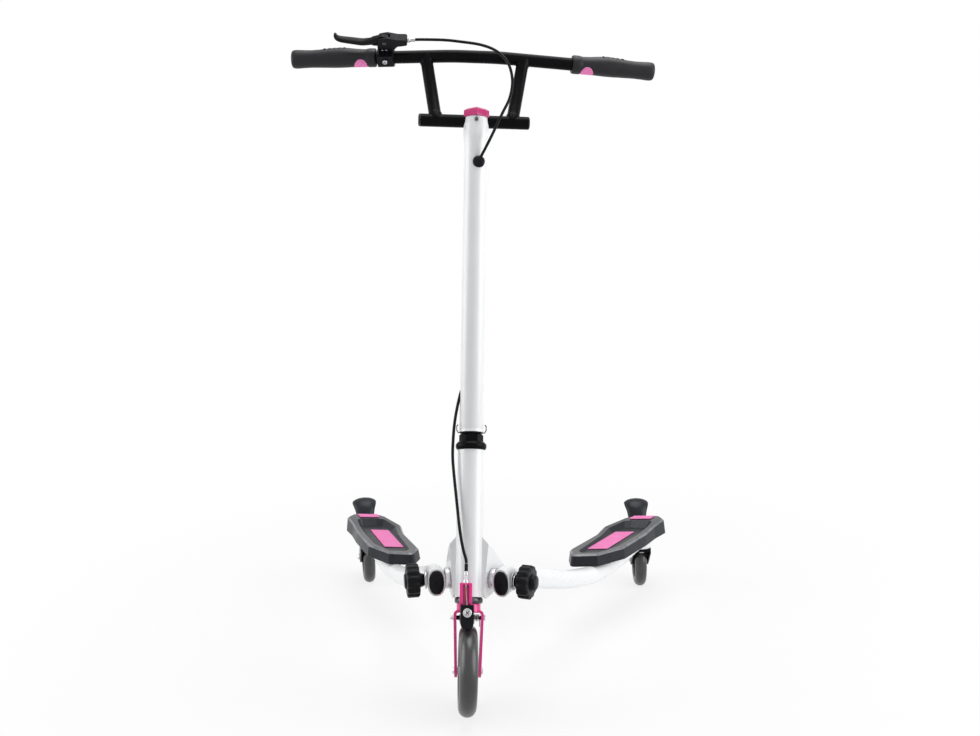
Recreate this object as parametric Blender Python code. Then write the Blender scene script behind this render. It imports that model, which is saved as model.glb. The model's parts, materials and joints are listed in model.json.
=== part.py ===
"""Three-wheeled carving scooter: steering column, hand brake, two hinged legs, two trailing casters.

Metres, +Z up, -Y is the way the scooter rides. The origin is on the ground under the middle of the box.
Legs, footplates and casters are placed by their distance behind the front axle.
"""
import bpy
import bmesh
from math import acos, atan2, cos, hypot, pi, radians, sin, tan
from mathutils import Matrix, Vector

# Running clearances
TOUCH = 0.0003
RUN = 0.0008

# Front wheel
FRONT_RADIUS = 0.0725
FRONT_TYRE_WIDTH = 0.029
FRONT_RIM_RADIUS = 0.047
FRONT_HUB_RADIUS = 0.0145
FRONT_HUB_HALF = 0.013
BEARING_RADIUS = 0.011
BEARING_WIDTH = 0.007
AXLE_RADIUS = 0.004
FRONT_WINDOWS = 5
WHEEL_SIDES = 20

# Steering axis and the head tube, heights measured up the axis from the front axle
FRONT_AXLE_Y = -0.306
HEAD_ANGLE = radians(20)
STEER_REST = radians(9.8)
HEAD_TUBE_RADIUS = 0.02225
HEAD_TUBE_BORE = 0.0200
HEAD_TUBE_LOW = 0.1160
HEAD_TUBE_TOP = 0.3540
CUP_RADIUS = 0.0230
UPPER_CUP_RADIUS = 0.0255
UPPER_CUP_HEIGHT = 0.0130
CUP_BORE = 0.0189
CUP_LIP = 0.010
STEERER_RADIUS = 0.0150
STEERER_BORE = 0.0118
STEERER_TOP = 0.4300
NUT_ACROSS_CORNERS = 0.0400
NUT_HEIGHT = 0.0135

# Fork
FORK_TOP_HALF = 0.0240
FORK_FOOT_HALF = 0.0210
FORK_STRIP = 0.0035
FORK_DEPTH = 0.026
FORK_CROWN_TOP = 0.0955
FORK_SHOULDER_RADIUS = 0.008
FORK_FOOT_DROP = 0.0105
AXLE_HEAD_GAP = 0.0009
FORK_NECK_RADIUS = 0.0195
FORK_NECK_TOP = 0.1050

# Front brake
BRAKE_PIVOT_HEIGHT = 0.0830
BRAKE_PIVOT_Y = -0.004
BRAKE_PIN_RADIUS = 0.0030
BRAKE_BLOCK_WIDTH = 0.0190
BRAKE_BLOCK_LOW = 0.0710
BRAKE_BLOCK_TOP = 0.1020
BRAKE_BLOCK_FRONT = -0.0460
BRAKE_BLOCK_REAR = -0.0295
BRAKE_ARM_LOW = 0.0768
BRAKE_X = -0.0020
CHANNEL_X = -0.0060
CHANNEL_WIDTH = 0.0195
CHANNEL_SHEET = 0.0022
CHANNEL_REAR = -0.0255
CHANNEL_DEPTH = 0.0150
CHANNEL_TOP = 0.1380
ADJUSTER_TOP = 0.1680
WIRE_RADIUS = 0.0009
SPRING_TURNS = 4
SPRING_WIRE = 0.0006
SPRING_RADIUS = 0.0052

# Stem and handlebar
STEM_RADIUS = 0.01985
STEM_BORE = 0.0176
STEM_TOP = 0.9400
SLEEVE_RADIUS = 0.0220
SLEEVE_LOW = 0.8850
CAP_LOW = 0.9280
CAP_TOP = 0.9455
CAP_CORNER_RADIUS = 0.0253
BAR_RADIUS = 0.0111
BAR_LATERAL = -0.0037
CROSSBAR_HEIGHT = 0.9250
CROSSBAR_HALF = 0.0950
BAR_RISE = 0.1270
BAR_TILT = radians(6.6)
BAR_BEND_HALF = 0.0400
BAR_SWEEP = radians(6)
BAR_HALF = 0.3226
POST_LOW_X = 0.0660
POST_TOP_X = 0.0860
GRIP_LENGTH = 0.1500
GRIP_END_WALL = 0.0035
INLAY_RADIUS = 0.0130
INLAY_FROM_INNER_END = 0.0270

# Brake lever, in a frame on the bar that points from the bar to the lever
LEVER_X = 0.1560
LEVER_RISE = radians(13.4)
CLAMP_WIDTH = 0.0290
CLAMP_RADIUS = 0.0160
LEVER_PIVOT = (0.0020, 0.0400)
LEVER_PIN_RADIUS = 0.0024
LEVER_KNUCKLE_HALF = 0.0036
PERCH_HALF = 0.0078
BARREL_HEIGHT = 0.0410
BARREL_END = 0.0416

# Brake cable
CABLE_RADIUS = 0.0025
CABLE_END_GAP = 0.0008

# Hinges of the two legs, measured from the front axle on the ground
HINGE_X = 0.0576
HINGE_Y = 0.0624
HINGE_Z = 0.2030
HINGE_SPLAY = radians(15.5)
STUD_RADIUS = 0.0060
KNOB_RADIUS = 0.0275
KNOB_WIDTH = 0.0180
KNOB_FLUTES = 14
LEG_FRONT = 0.0190
PLUG_DEPTH = 0.010

# Casters
PIVOT_X = 0.2800
PIVOT_Y = 0.5560
CASTER_TRAIL = 0.0550
CASTER_REST_LEFT = radians(16)
CASTER_REST_RIGHT = radians(5)
REAR_RADIUS = 0.0550
REAR_TYRE_WIDTH = 0.0240
REAR_RIM_RADIUS = 0.0370
REAR_HUB_RADIUS = 0.0125
REAR_HUB_HALF = 0.0144
HOUSING_RADIUS = 0.0185
HOUSING_MIDDLE = 0.1165
HOUSING_HALF = 0.0180
NUT_WELL = 0.0070
KINGPIN_RADIUS = 0.0060
CROWN_THICKNESS = 0.0050
CASTER_ARM_INNER = 0.0150
CASTER_ARM_SHEET = 0.0030
MUDGUARD_LUG = 0.0019

# Leg centre line on the viewer's right: x, y, z, half width, half height
LEG_STATIONS = (
    (0.0645, 0.0875, 0.1975, 0.0150, 0.0215),
    (0.0770, 0.1240, 0.1850, 0.0150, 0.0195),
    (0.0990, 0.1760, 0.1660, 0.0150, 0.0178),
    (0.1280, 0.2400, 0.1410, 0.0150, 0.0168),
    (0.1600, 0.3080, 0.1190, 0.0150, 0.0165),
    (0.1950, 0.3830, 0.1045, 0.0150, 0.0165),
    (0.2300, 0.4560, 0.1050, 0.0150, 0.0165),
    (0.2600, 0.5150, 0.1140, 0.0150, 0.0165),
)

# Footplate outlines on the viewer's right, front inner corner to rear and back
DECK_TOP = 0.1470
DECK_BOTTOM = 0.1245
DECK_FLOOR = 0.1415
DECK_FLOOR_THICKNESS = 0.0040
DECK_KICK = 0.0070
DECK_KICK_START = 0.5000
DECK_FLARE = 0.0035
DECK_WALL = 0.0035
DECK_OUTLINE = (
    (0.150, 0.356), (0.197, 0.361), (0.246, 0.405), (0.288, 0.488), (0.306, 0.531), (0.326, 0.567),
    (0.317, 0.591), (0.266, 0.589), (0.247, 0.574), (0.206, 0.530), (0.191, 0.483), (0.145, 0.391),
)
DECK_RIM_INNER = (
    (0.166, 0.371), (0.200, 0.374), (0.236, 0.414), (0.275, 0.492), (0.291, 0.527), (0.301, 0.553),
    (0.297, 0.560), (0.262, 0.560), (0.246, 0.556), (0.216, 0.522), (0.201, 0.475), (0.162, 0.384),
)
DECK_FLOOR_OUTLINE = (
    (0.170, 0.377), (0.198, 0.379), (0.232, 0.417), (0.270, 0.494), (0.284, 0.520), (0.293, 0.540),
    (0.289, 0.546), (0.258, 0.546), (0.247, 0.541), (0.221, 0.512), (0.205, 0.473), (0.167, 0.388),
)
FRONT_PAD = ((0.213, 0.409), (0.264, 0.514), (0.231, 0.512), (0.179, 0.407))
PAD_THICKNESS = 0.0012

FINISHES = {
    "white_paint": ((0.83, 0.84, 0.85), 0.25, 0.0),
    "pink_paint": ((0.76, 0.02, 0.18), 0.30, 0.0),
    "black_paint": ((0.012, 0.012, 0.014), 0.35, 0.0),
    "black_plastic": ((0.02, 0.02, 0.022), 0.45, 0.0),
    "slate_plastic": ((0.05, 0.055, 0.065), 0.50, 0.0),
    "grip_rubber": ((0.025, 0.025, 0.028), 0.60, 0.0),
    "pink_rubber": ((0.90, 0.22, 0.50), 0.75, 0.0),
    "tyre_rubber": ((0.09, 0.09, 0.09), 0.60, 0.0),
    "steel": ((0.62, 0.62, 0.63), 0.30, 1.0),
    "dark_steel": ((0.20, 0.20, 0.21), 0.40, 1.0),
}


def clear_scene():
    for old in list(bpy.data.objects):
        bpy.data.objects.remove(old, do_unlink=True)


def give_material(obj, finish):
    colour, roughness, metallic = FINISHES[finish]
    made = bpy.data.materials.new(obj.name + "_" + finish)
    made.use_nodes = True
    shader = made.node_tree.nodes["Principled BSDF"]
    shader.inputs["Base Color"].default_value = (*colour, 1.0)
    shader.inputs["Roughness"].default_value = roughness
    shader.inputs["Metallic"].default_value = metallic
    obj.data.materials.append(made)


def empty(name, matrix, parent=None):
    obj = bpy.data.objects.new(name, None)
    obj.empty_display_size = 0.02
    bpy.context.scene.collection.objects.link(obj)
    obj.parent = parent
    obj.rotation_mode = "QUATERNION"
    obj.location = matrix.to_translation()
    obj.rotation_quaternion = matrix.to_quaternion()
    return obj


def add_mesh(name, bm, finish, parent, origin=(0, 0, 0)):
    """A mesh object from bm, whose points are given in the parent's frame, with its origin at origin."""
    bmesh.ops.translate(bm, verts=bm.verts, vec=-Vector(origin))
    bmesh.ops.recalc_face_normals(bm, faces=bm.faces)
    mesh = bpy.data.meshes.new(name)
    bm.to_mesh(mesh)
    bm.free()
    obj = bpy.data.objects.new(name, mesh)
    bpy.context.scene.collection.objects.link(obj)
    obj.parent = parent
    obj.location = origin
    mesh.shade_smooth()
    mesh.set_sharp_from_angle(angle=radians(35))
    if finish:
        give_material(obj, finish)
    return obj


def add_boolean(target, bm, operation):
    """Adds, cuts or keeps the shape in bm, given in the same frame as the target's own points."""
    tool = add_mesh(target.name + "_tool", bm, None, target)
    tool.hide_render = True
    tool.display_type = "WIRE"
    modifier = target.modifiers.new(operation.lower(), "BOOLEAN")
    modifier.operation = operation
    modifier.object = tool
    modifier.solver = "EXACT"
    return tool


def cut(target, bm):
    return add_boolean(target, bm, "DIFFERENCE")


def join(target, bm):
    return add_boolean(target, bm, "UNION")


def fillet(points, radius, steps=2):
    """The outline with each corner rounded to the radius, or to what its sides leave room for."""
    result = []
    count = len(points)
    for i in range(count):
        corner = Vector(points[i])
        before = Vector(points[i - 1]) - corner
        after = Vector(points[(i + 1) % count]) - corner
        half = acos(max(-1.0, min(1.0, before.normalized().dot(after.normalized())))) / 2
        reach = min(radius / tan(half), 0.45 * before.length, 0.45 * after.length)
        start = corner + before.normalized() * reach
        end = corner + after.normalized() * reach
        for k in range(steps + 1):
            t = k / steps
            result.append(start * (1 - t) ** 2 + corner * 2 * t * (1 - t) + end * t ** 2)
    return result


def grow(points, distance):
    """The outline moved outward by the distance, for points that run anticlockwise."""
    result = []
    count = len(points)
    for i in range(count):
        corner = Vector(points[i])
        a = (corner - Vector(points[i - 1])).normalized()
        b = (Vector(points[(i + 1) % count]) - corner).normalized()
        normal_a = Vector((a.y, -a.x))
        normal_b = Vector((b.y, -b.x))
        result.append(corner + (normal_a + normal_b) * distance / (1 + normal_a.dot(normal_b)))
    return result


def turned(profile, segments, closed=True):
    """A shape turned about Z from (radius, height) points; a closed profile makes a ring."""
    bm = bmesh.new()
    verts = [bm.verts.new((r, 0, z)) for r, z in profile]
    edges = [bm.edges.new(pair) for pair in zip(verts, verts[1:])]
    if closed:
        edges.append(bm.edges.new((verts[-1], verts[0])))
    bmesh.ops.spin(bm, geom=verts + edges, cent=(0, 0, 0), axis=(0, 0, 1), angle=2 * pi,
                   steps=segments, use_merge=True)
    bmesh.ops.remove_doubles(bm, verts=bm.verts, dist=1e-6)
    bmesh.ops.recalc_face_normals(bm, faces=bm.faces)
    return bm


def along_x(bm):
    """Turns a shape made about Z so that its axis runs along X."""
    bmesh.ops.rotate(bm, verts=bm.verts, cent=(0, 0, 0), matrix=Matrix.Rotation(radians(90), 3, "Y"))
    return bm


def along_front(bm):
    """Turns a shape made about Z so that its top faces forward, along -Y."""
    bmesh.ops.rotate(bm, verts=bm.verts, cent=(0, 0, 0), matrix=Matrix.Rotation(radians(90), 3, "X"))
    return bm


def moved(bm, offset):
    bmesh.ops.translate(bm, verts=bm.verts, vec=Vector(offset))
    return bm


def disc(radius, low, high, segments):
    return turned(((0, low), (radius, low), (radius, high), (0, high)), segments, closed=False)


def ring(inner, outer, low, high, segments):
    return turned(((inner, low), (outer, low), (outer, high), (inner, high)), segments)


def merge(*parts):
    """Several closed shapes in one mesh, as separate solids."""
    whole = bmesh.new()
    for part in parts:
        mesh = bpy.data.meshes.new("part")
        part.to_mesh(mesh)
        part.free()
        whole.from_mesh(mesh)
        bpy.data.meshes.remove(mesh)
    return whole


def prism(outline, axis, low, high):
    """An outline pushed along an axis: (y, z) points along X, (x, z) along Y or (x, y) along Z."""
    spots = {
        "X": lambda p, d: (d, p[0], p[1]),
        "Y": lambda p, d: (p[0], d, p[1]),
        "Z": lambda p, d: (p[0], p[1], d),
    }[axis]
    bm = bmesh.new()
    face = bm.faces.new([bm.verts.new(spots(p, low)) for p in outline])
    made = bmesh.ops.extrude_face_region(bm, geom=[face])
    shift = Vector(spots((0, 0), high)) - Vector(spots((0, 0), low))
    bmesh.ops.translate(bm, verts=[v for v in made["geom"] if isinstance(v, bmesh.types.BMVert)], vec=shift)
    bmesh.ops.recalc_face_normals(bm, faces=bm.faces)
    return bm


def box(low, high, bevel=0.0):
    bm = bmesh.new()
    size = Vector(high) - Vector(low)
    bmesh.ops.create_cube(bm, size=1.0, matrix=Matrix.Translation((Vector(low) + Vector(high)) / 2)
                          @ Matrix.Diagonal((*size, 1.0)))
    if bevel:
        bmesh.ops.bevel(bm, geom=bm.edges[:], offset=bevel, segments=2, profile=0.5, affect="EDGES")
    return bm


def loft(rings):
    """A closed skin through rings of points, each with as many points as the next."""
    bm = bmesh.new()
    rows = [[bm.verts.new(p) for p in points] for points in rings]
    count = len(rows[0])
    for lower, upper in zip(rows, rows[1:]):
        for i in range(count):
            j = (i + 1) % count
            bm.faces.new((lower[i], lower[j], upper[j], upper[i]))
    bm.faces.new(rows[0])
    bm.faces.new(rows[-1])
    bmesh.ops.recalc_face_normals(bm, faces=bm.faces)
    return bm


def smooth_path(points, per_span):
    """Points read from a smooth curve through the given ones, each a tuple of any length."""
    route = [Vector(p) for p in points]
    route = [route[0] * 2 - route[1]] + route + [route[-1] * 2 - route[-2]]
    result = []
    for i in range(1, len(route) - 2):
        a, b, c, d = route[i - 1:i + 3]
        for k in range(per_span):
            t = k / per_span
            result.append(0.5 * (b * 2 + (c - a) * t + (a * 2 - b * 5 + c * 4 - d) * t ** 2
                                 + (b * 3 - a - c * 3 + d) * t ** 3))
    result.append(route[-2])
    return result


def even_path(points, spacing):
    """The same smooth curve, read at even steps of about the spacing."""
    dense = smooth_path(points, 24)
    lengths = [0.0]
    for a, b in zip(dense, dense[1:]):
        lengths.append(lengths[-1] + (b - a).length)
    count = max(2, round(lengths[-1] / spacing))
    result = []
    k = 0
    for i in range(count + 1):
        goal = lengths[-1] * i / count
        while k < len(dense) - 2 and lengths[k + 1] < goal:
            k += 1
        t = (goal - lengths[k]) / (lengths[k + 1] - lengths[k])
        result.append(dense[k].lerp(dense[k + 1], min(1.0, t)))
    return result


def pipe(points, radius, sides):
    """A round tube's solid along points, for cutting its own clearance."""
    rings = []
    side = None
    for i, point in enumerate(points):
        way = (points[min(i + 1, len(points) - 1)] - points[max(i - 1, 0)]).normalized()
        side = (side or way.orthogonal())
        side = (side - way * side.dot(way)).normalized()
        other = way.cross(side)
        rings.append([point + (side * cos(2 * pi * k / sides) + other * sin(2 * pi * k / sides)) * radius
                      for k in range(sides)])
    return loft(rings)


def add_cord(name, points, radius, resolution, finish, parent):
    """A tube with filled ends on a line of points."""
    curve = bpy.data.curves.new(name, "CURVE")
    curve.dimensions = "3D"
    curve.bevel_depth = radius
    curve.bevel_resolution = resolution
    curve.use_fill_caps = True
    spline = curve.splines.new("POLY")
    spline.points.add(len(points) - 1)
    for spot, point in zip(spline.points, points):
        spot.co = (*point, 1.0)
    obj = bpy.data.objects.new(name, curve)
    bpy.context.scene.collection.objects.link(obj)
    obj.parent = parent
    give_material(obj, finish)
    return obj


def tyre_profile(radius, width, rim):
    """Round tread down to the rim, as (radius, height) points about the wheel's own axis."""
    tread = width / 2
    centre = radius - tread
    inner = rim + TOUCH
    spread = pi - 0.55
    points = [(centre + tread * cos(a), tread * sin(a))
              for a in (-spread + 2 * spread * k / 6 for k in range(7))]
    edge = tread * 0.72
    return [(inner, edge)] + [(max(r, inner), z) for r, z in reversed(points)] + [(inner, -edge)]


def wheel_core(rim, half_rim, web, hub_radius, hub_half):
    """Rim, web and hub with a pocket for a bearing at each end."""
    pocket = BEARING_RADIUS + TOUCH
    shelf = hub_half - BEARING_WIDTH
    outline = [(pocket, hub_half), (hub_radius, hub_half), (hub_radius + 0.0015, web),
               (rim - 0.006, web), (rim - 0.004, half_rim), (rim, half_rim)]
    low = [(r, -z) for r, z in reversed(outline)]
    inside = [(pocket, -shelf), (AXLE_RADIUS + 0.002, -shelf), (AXLE_RADIUS + 0.002, shelf), (pocket, shelf)]
    return outline + low + inside


def build_front_wheel(steer):
    tyre = along_x(turned(tyre_profile(FRONT_RADIUS, FRONT_TYRE_WIDTH, FRONT_RIM_RADIUS), WHEEL_SIDES))
    add_mesh("front_tyre", tyre, "tyre_rubber", steer)
    core = along_x(turned(wheel_core(FRONT_RIM_RADIUS, 0.0102, 0.004, FRONT_HUB_RADIUS, FRONT_HUB_HALF), WHEEL_SIDES))
    wheel = add_mesh("front_wheel_core", core, "black_plastic", steer)
    windows = []
    middle = (FRONT_HUB_RADIUS + FRONT_RIM_RADIUS) / 2 - 0.002
    for k in range(FRONT_WINDOWS):
        a = 2 * pi * k / FRONT_WINDOWS
        window = along_x(disc(0.0095, -0.02, 0.02, 8))
        windows.append(moved(window, (0, middle * cos(a), middle * sin(a))))
    cut(wheel, merge(*windows))
    build_front_bearings(steer)


def build_front_bearings(steer):
    """Both bearings with the sleeve between them and a spacer outside each."""
    bore = AXLE_RADIUS + TOUCH
    end = FORK_FOOT_HALF - FORK_STRIP - TOUCH
    shelf = FRONT_HUB_HALF - BEARING_WIDTH + TOUCH
    half = [(bore, end), (0.0065, end), (0.0065, FRONT_HUB_HALF), (BEARING_RADIUS, FRONT_HUB_HALF - 0.0002),
            (BEARING_RADIUS, shelf), (0.0057, shelf)]
    sleeve = turned(half + [(r, -z) for r, z in reversed(half)], 12)
    add_mesh("front_wheel_bearings", along_x(sleeve), "steel", steer)


def add_bolt(name, parent, origin, shank, head, grip, nut, finish="steel"):
    """Bolt along X: shank radius, (radius, height) of head and nut, and the two faces that it grips."""
    low, high = grip
    body = turned(((0, low - head[1]), (head[0] * 0.8, low - head[1]), (head[0], low - head[1] * 0.6),
                   (head[0], low), (shank, low), (shank, high + nut[1] + 0.0015), (0, high + nut[1] + 0.0015)),
                  10, closed=False)
    bolt = add_mesh(name, moved(along_x(body), origin), finish, parent, origin)
    join(bolt, along_x(disc(nut[0], high, high + nut[1], 6)))
    return bolt


def build_front_axle(steer):
    face = FORK_FOOT_HALF + AXLE_HEAD_GAP
    add_bolt("front_axle", steer, (0, 0, 0), AXLE_RADIUS, (0.0065, 0.005), (-face, face), (0.0068, 0.006))


def fork_outline():
    """The bent strip seen from the front, outer side then inner side."""
    shoulder = FORK_SHOULDER_RADIUS
    outer = [(-FORK_FOOT_HALF, -FORK_FOOT_DROP), (-FORK_TOP_HALF, FORK_CROWN_TOP - shoulder)]
    inner = []
    for k in range(1, 5):
        a = pi / 2 * k / 4
        outer.append((-FORK_TOP_HALF + shoulder * (1 - cos(a)), FORK_CROWN_TOP - shoulder * (1 - sin(a))))
    bend = shoulder - FORK_STRIP
    low = FORK_CROWN_TOP - FORK_STRIP
    for k in range(4, -1, -1):
        a = pi / 2 * k / 4
        inner.append((-FORK_TOP_HALF + FORK_STRIP + bend * (1 - cos(a)), low - bend * (1 - sin(a))))
    inner.append((-FORK_FOOT_HALF + FORK_STRIP, -FORK_FOOT_DROP))
    outer += [(-x, z) for x, z in reversed(outer)]
    return outer + [(-x, z) for x, z in reversed(inner)] + inner


def build_fork(steer):
    strip = prism(fork_outline(), "Y", -FORK_DEPTH / 2, FORK_DEPTH / 2)
    feet = [e for e in strip.edges if all(abs(v.co.z + FORK_FOOT_DROP) < 1e-5 for v in e.verts)
            and abs(e.verts[0].co.x - e.verts[1].co.x) > 0.001]
    bmesh.ops.bevel(strip, geom=feet, offset=0.009, segments=3, profile=0.5, affect="EDGES")
    fork = add_mesh("fork", strip, "pink_paint", steer)
    neck_low = FORK_CROWN_TOP - FORK_STRIP + 0.0005
    neck = turned(((STEERER_BORE, neck_low), (FORK_NECK_RADIUS, neck_low), (FORK_NECK_RADIUS, FORK_NECK_TOP),
                   (STEERER_RADIUS, FORK_NECK_TOP), (STEERER_RADIUS, STEERER_TOP),
                   (STEERER_BORE, STEERER_TOP)), 20)
    join(fork, neck)
    tab_half = CHANNEL_WIDTH / 2
    tab = box((CHANNEL_X - tab_half, CHANNEL_REAR - CHANNEL_SHEET, neck_low),
              (CHANNEL_X + tab_half, -FORK_DEPTH / 2 + 0.004, FORK_CROWN_TOP - TOUCH))
    join(fork, tab)
    cut(fork, disc(STEERER_BORE, neck_low - 0.01, neck_low + 0.01, 20))
    cut(fork, along_x(disc(AXLE_RADIUS + TOUCH, -0.04, 0.04, 14)))
    pin_hole = along_x(disc(BRAKE_PIN_RADIUS + TOUCH, -0.04, 0.04, 12))
    cut(fork, moved(pin_hole, (0, BRAKE_PIVOT_Y, BRAKE_PIVOT_HEIGHT)))
    return fork


def build_brake_bracket(steer):
    """Pink channel that stands on the crown's tab and holds the cable's lower end."""
    half = CHANNEL_WIDTH / 2
    front = CHANNEL_REAR - CHANNEL_DEPTH
    sheet = CHANNEL_SHEET
    foot = FORK_CROWN_TOP
    section = ((CHANNEL_X - half, CHANNEL_REAR), (CHANNEL_X - half, front), (CHANNEL_X - half + sheet, front),
               (CHANNEL_X - half + sheet, CHANNEL_REAR - sheet), (CHANNEL_X + half - sheet, CHANNEL_REAR - sheet),
               (CHANNEL_X + half - sheet, front), (CHANNEL_X + half, front), (CHANNEL_X + half, CHANNEL_REAR))
    channel = add_mesh("brake_cable_bracket", prism(section, "Z", foot, CHANNEL_TOP), "pink_paint", steer)
    clear = box((CHANNEL_X - 0.02, front - 0.01, foot - 0.001),
                (CHANNEL_X + 0.02, BRAKE_BLOCK_REAR + 0.0018, BRAKE_BLOCK_TOP + 0.0030))
    cut(channel, clear)
    lid = box((CHANNEL_X - half + 0.001, front + 0.002, CHANNEL_TOP - 0.003),
              (CHANNEL_X + half - 0.001, CHANNEL_REAR - 0.001, CHANNEL_TOP - 0.0005))
    join(channel, lid)
    hole = disc(0.0024, CHANNEL_TOP - 0.01, CHANNEL_TOP + 0.01, 12)
    cut(channel, moved(hole, (CHANNEL_X, cable_foot().y, 0)))


def cable_foot():
    """Where the cable's housing ends, on top of the lower adjuster."""
    return Vector((CHANNEL_X, CHANNEL_REAR - CHANNEL_DEPTH * 0.57, ADJUSTER_TOP + CABLE_END_GAP))


def build_lower_adjuster(steer):
    """Barrel adjuster: screwed stalk through the bracket, knurled nut and open barrel."""
    top = ADJUSTER_TOP
    seat = CHANNEL_TOP + TOUCH
    barrel = turned(((0.0014, top), (0.0034, top), (0.0036, top - 0.012), (0.0030, top - 0.0125),
                     (0.0030, seat + 0.004), (0.0046, seat + 0.004), (0.0046, seat), (0.0021, seat),
                     (0.0021, CHANNEL_TOP - 0.006), (0.0014, CHANNEL_TOP - 0.006)), 10)
    foot = cable_foot()
    add_mesh("lower_cable_adjuster", moved(barrel, (foot.x, foot.y, 0)), "steel", steer)


def build_inner_wire(steer):
    foot = cable_foot()
    drop = even_path([(foot.x, foot.y, foot.z - 0.0006), (foot.x, foot.y, 0.130),
                      (foot.x + 0.0010, foot.y - 0.0015, 0.115),
                      (BRAKE_X - 0.001, BRAKE_BLOCK_FRONT + 0.0085, 0.099)], 0.008)
    add_cord("brake_inner_wire", drop, WIRE_RADIUS, 2, "steel", steer)
    return drop


def build_brake_arm(steer, wire):
    """Lever of the front brake: body over the tyre, clamp block and the guard that hugs the tyre."""
    arm = empty("brake_arm_pivot", Matrix.Translation((0, BRAKE_PIVOT_Y, BRAKE_PIVOT_HEIGHT)), steer)
    origin = Vector((0, BRAKE_PIVOT_Y, BRAKE_PIVOT_HEIGHT))
    half = BRAKE_BLOCK_WIDTH / 2
    left = BRAKE_X - half
    right = BRAKE_X + half
    side = fillet(((BRAKE_BLOCK_FRONT, BRAKE_BLOCK_LOW), (BRAKE_BLOCK_FRONT, BRAKE_BLOCK_TOP),
                   (BRAKE_BLOCK_REAR, BRAKE_BLOCK_TOP), (BRAKE_BLOCK_REAR, 0.0880), (0.024, 0.0880),
                   (0.026, BRAKE_ARM_LOW), (0.0, BRAKE_ARM_LOW), (-0.010, 0.0762), (-0.022, 0.0736),
                   (-0.030, 0.0706)), 0.0012, 2)
    body = add_mesh("brake_arm", moved(prism(side, "X", left, right), -origin), "black_plastic", arm)
    for part in brake_guard():
        join(body, moved(part, -origin))
    pin = along_x(disc(BRAKE_PIN_RADIUS + TOUCH, -0.03, 0.03, 12))
    cut(body, pin)
    way_in = disc(0.0027, BRAKE_BLOCK_TOP - 0.010, BRAKE_BLOCK_TOP + 0.01, 10)
    end = wire[-1]
    cut(body, moved(way_in, (end.x - origin.x, end.y - origin.y, -origin.z)))
    bolt_hole = along_front(disc(0.0028, -0.0056, 0.006, 10))
    cut(body, moved(bolt_hole, Vector((BRAKE_X, BRAKE_BLOCK_FRONT, 0.0880)) - origin))
    build_brake_pad(arm, origin)
    build_anchor_bolt(arm, origin)
    return arm


def brake_guard():
    """Guard of channel section round the front of the tyre, with side walls that reach lower."""
    inner = FRONT_RADIUS + 0.0026
    outer = inner + 0.0022
    half = FRONT_TYRE_WIDTH / 2 + 0.0008
    wall = 0.0014
    depth = 0.0160
    section = ((-half - wall, outer - depth), (-half - wall, outer), (half + wall, outer),
               (half + wall, outer - depth), (half, outer - depth), (half, inner), (-half, inner),
               (-half, outer - depth))
    hood = swept_about_x(section, radians(92), radians(140), 6)
    fins = []
    for side in (-1, 1):
        edge = sorted((side * half, side * (half + wall)))
        fin = ((edge[0], outer - depth), (edge[0], outer - 0.0004), (edge[1], outer - 0.0004),
               (edge[1], outer - depth))
        fins.append(swept_about_x(fin, radians(138), radians(186), 6))
    return hood, merge(*fins)


def swept_about_x(section, start, end, steps):
    """A section of (x, radius) points swept about X; the angle is 90 degrees at the top, 180 in front."""
    rings = []
    for k in range(steps + 1):
        a = start + (end - start) * k / steps
        rings.append([(x, r * cos(a), r * sin(a)) for x, r in section])
    return loft(rings)


def build_brake_pad(arm, origin):
    """Rubber pad under the tail of the arm, over the tyre behind the pin."""
    inner = FRONT_RADIUS + 0.0014
    section = ((-0.0065, inner), (-0.0065, inner + 0.0040), (0.0065, inner + 0.0040), (0.0065, inner))
    pad = swept_about_x(section, radians(70), radians(82), 3)
    trim = box((-0.02, -0.02, BRAKE_ARM_LOW - TOUCH), (0.02, 0.04, 0.10))
    made = add_mesh("brake_pad", moved(pad, -origin), "tyre_rubber", arm)
    cut(made, moved(trim, -origin))
    return made


def build_anchor_bolt(arm, origin):
    """Flanged hex bolt that clamps the wire in the block."""
    head = turned(((0, 0.0062), (0.0045, 0.0062), (0.0050, 0.0054), (0.0050, 0.0012), (0.0070, 0.0010),
                   (0.0070, TOUCH), (0.0024, TOUCH), (0.0024, -0.0050), (0, -0.0050)), 12, closed=False)
    spot = Vector((BRAKE_X, BRAKE_BLOCK_FRONT, 0.0880)) - origin
    add_mesh("cable_anchor_bolt", moved(along_front(head), spot), "steel", arm)


def build_brake_pivot(steer):
    """Bolt through both blades, with its nut and a sleeve that keeps the arm in the middle."""
    face = FORK_TOP_HALF + TOUCH
    arm_left = BRAKE_X - BRAKE_BLOCK_WIDTH / 2
    blade_in = FORK_TOP_HALF - FORK_STRIP - 0.0008
    bolt = add_bolt("brake_pivot_bolt", steer, (0, BRAKE_PIVOT_Y, BRAKE_PIVOT_HEIGHT), BRAKE_PIN_RADIUS,
                    (0.0055, 0.0065), (-face, face), (0.0052, 0.0045), "dark_steel")
    join(bolt, along_x(disc(0.0050, -blade_in, arm_left - TOUCH, 12)))


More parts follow.
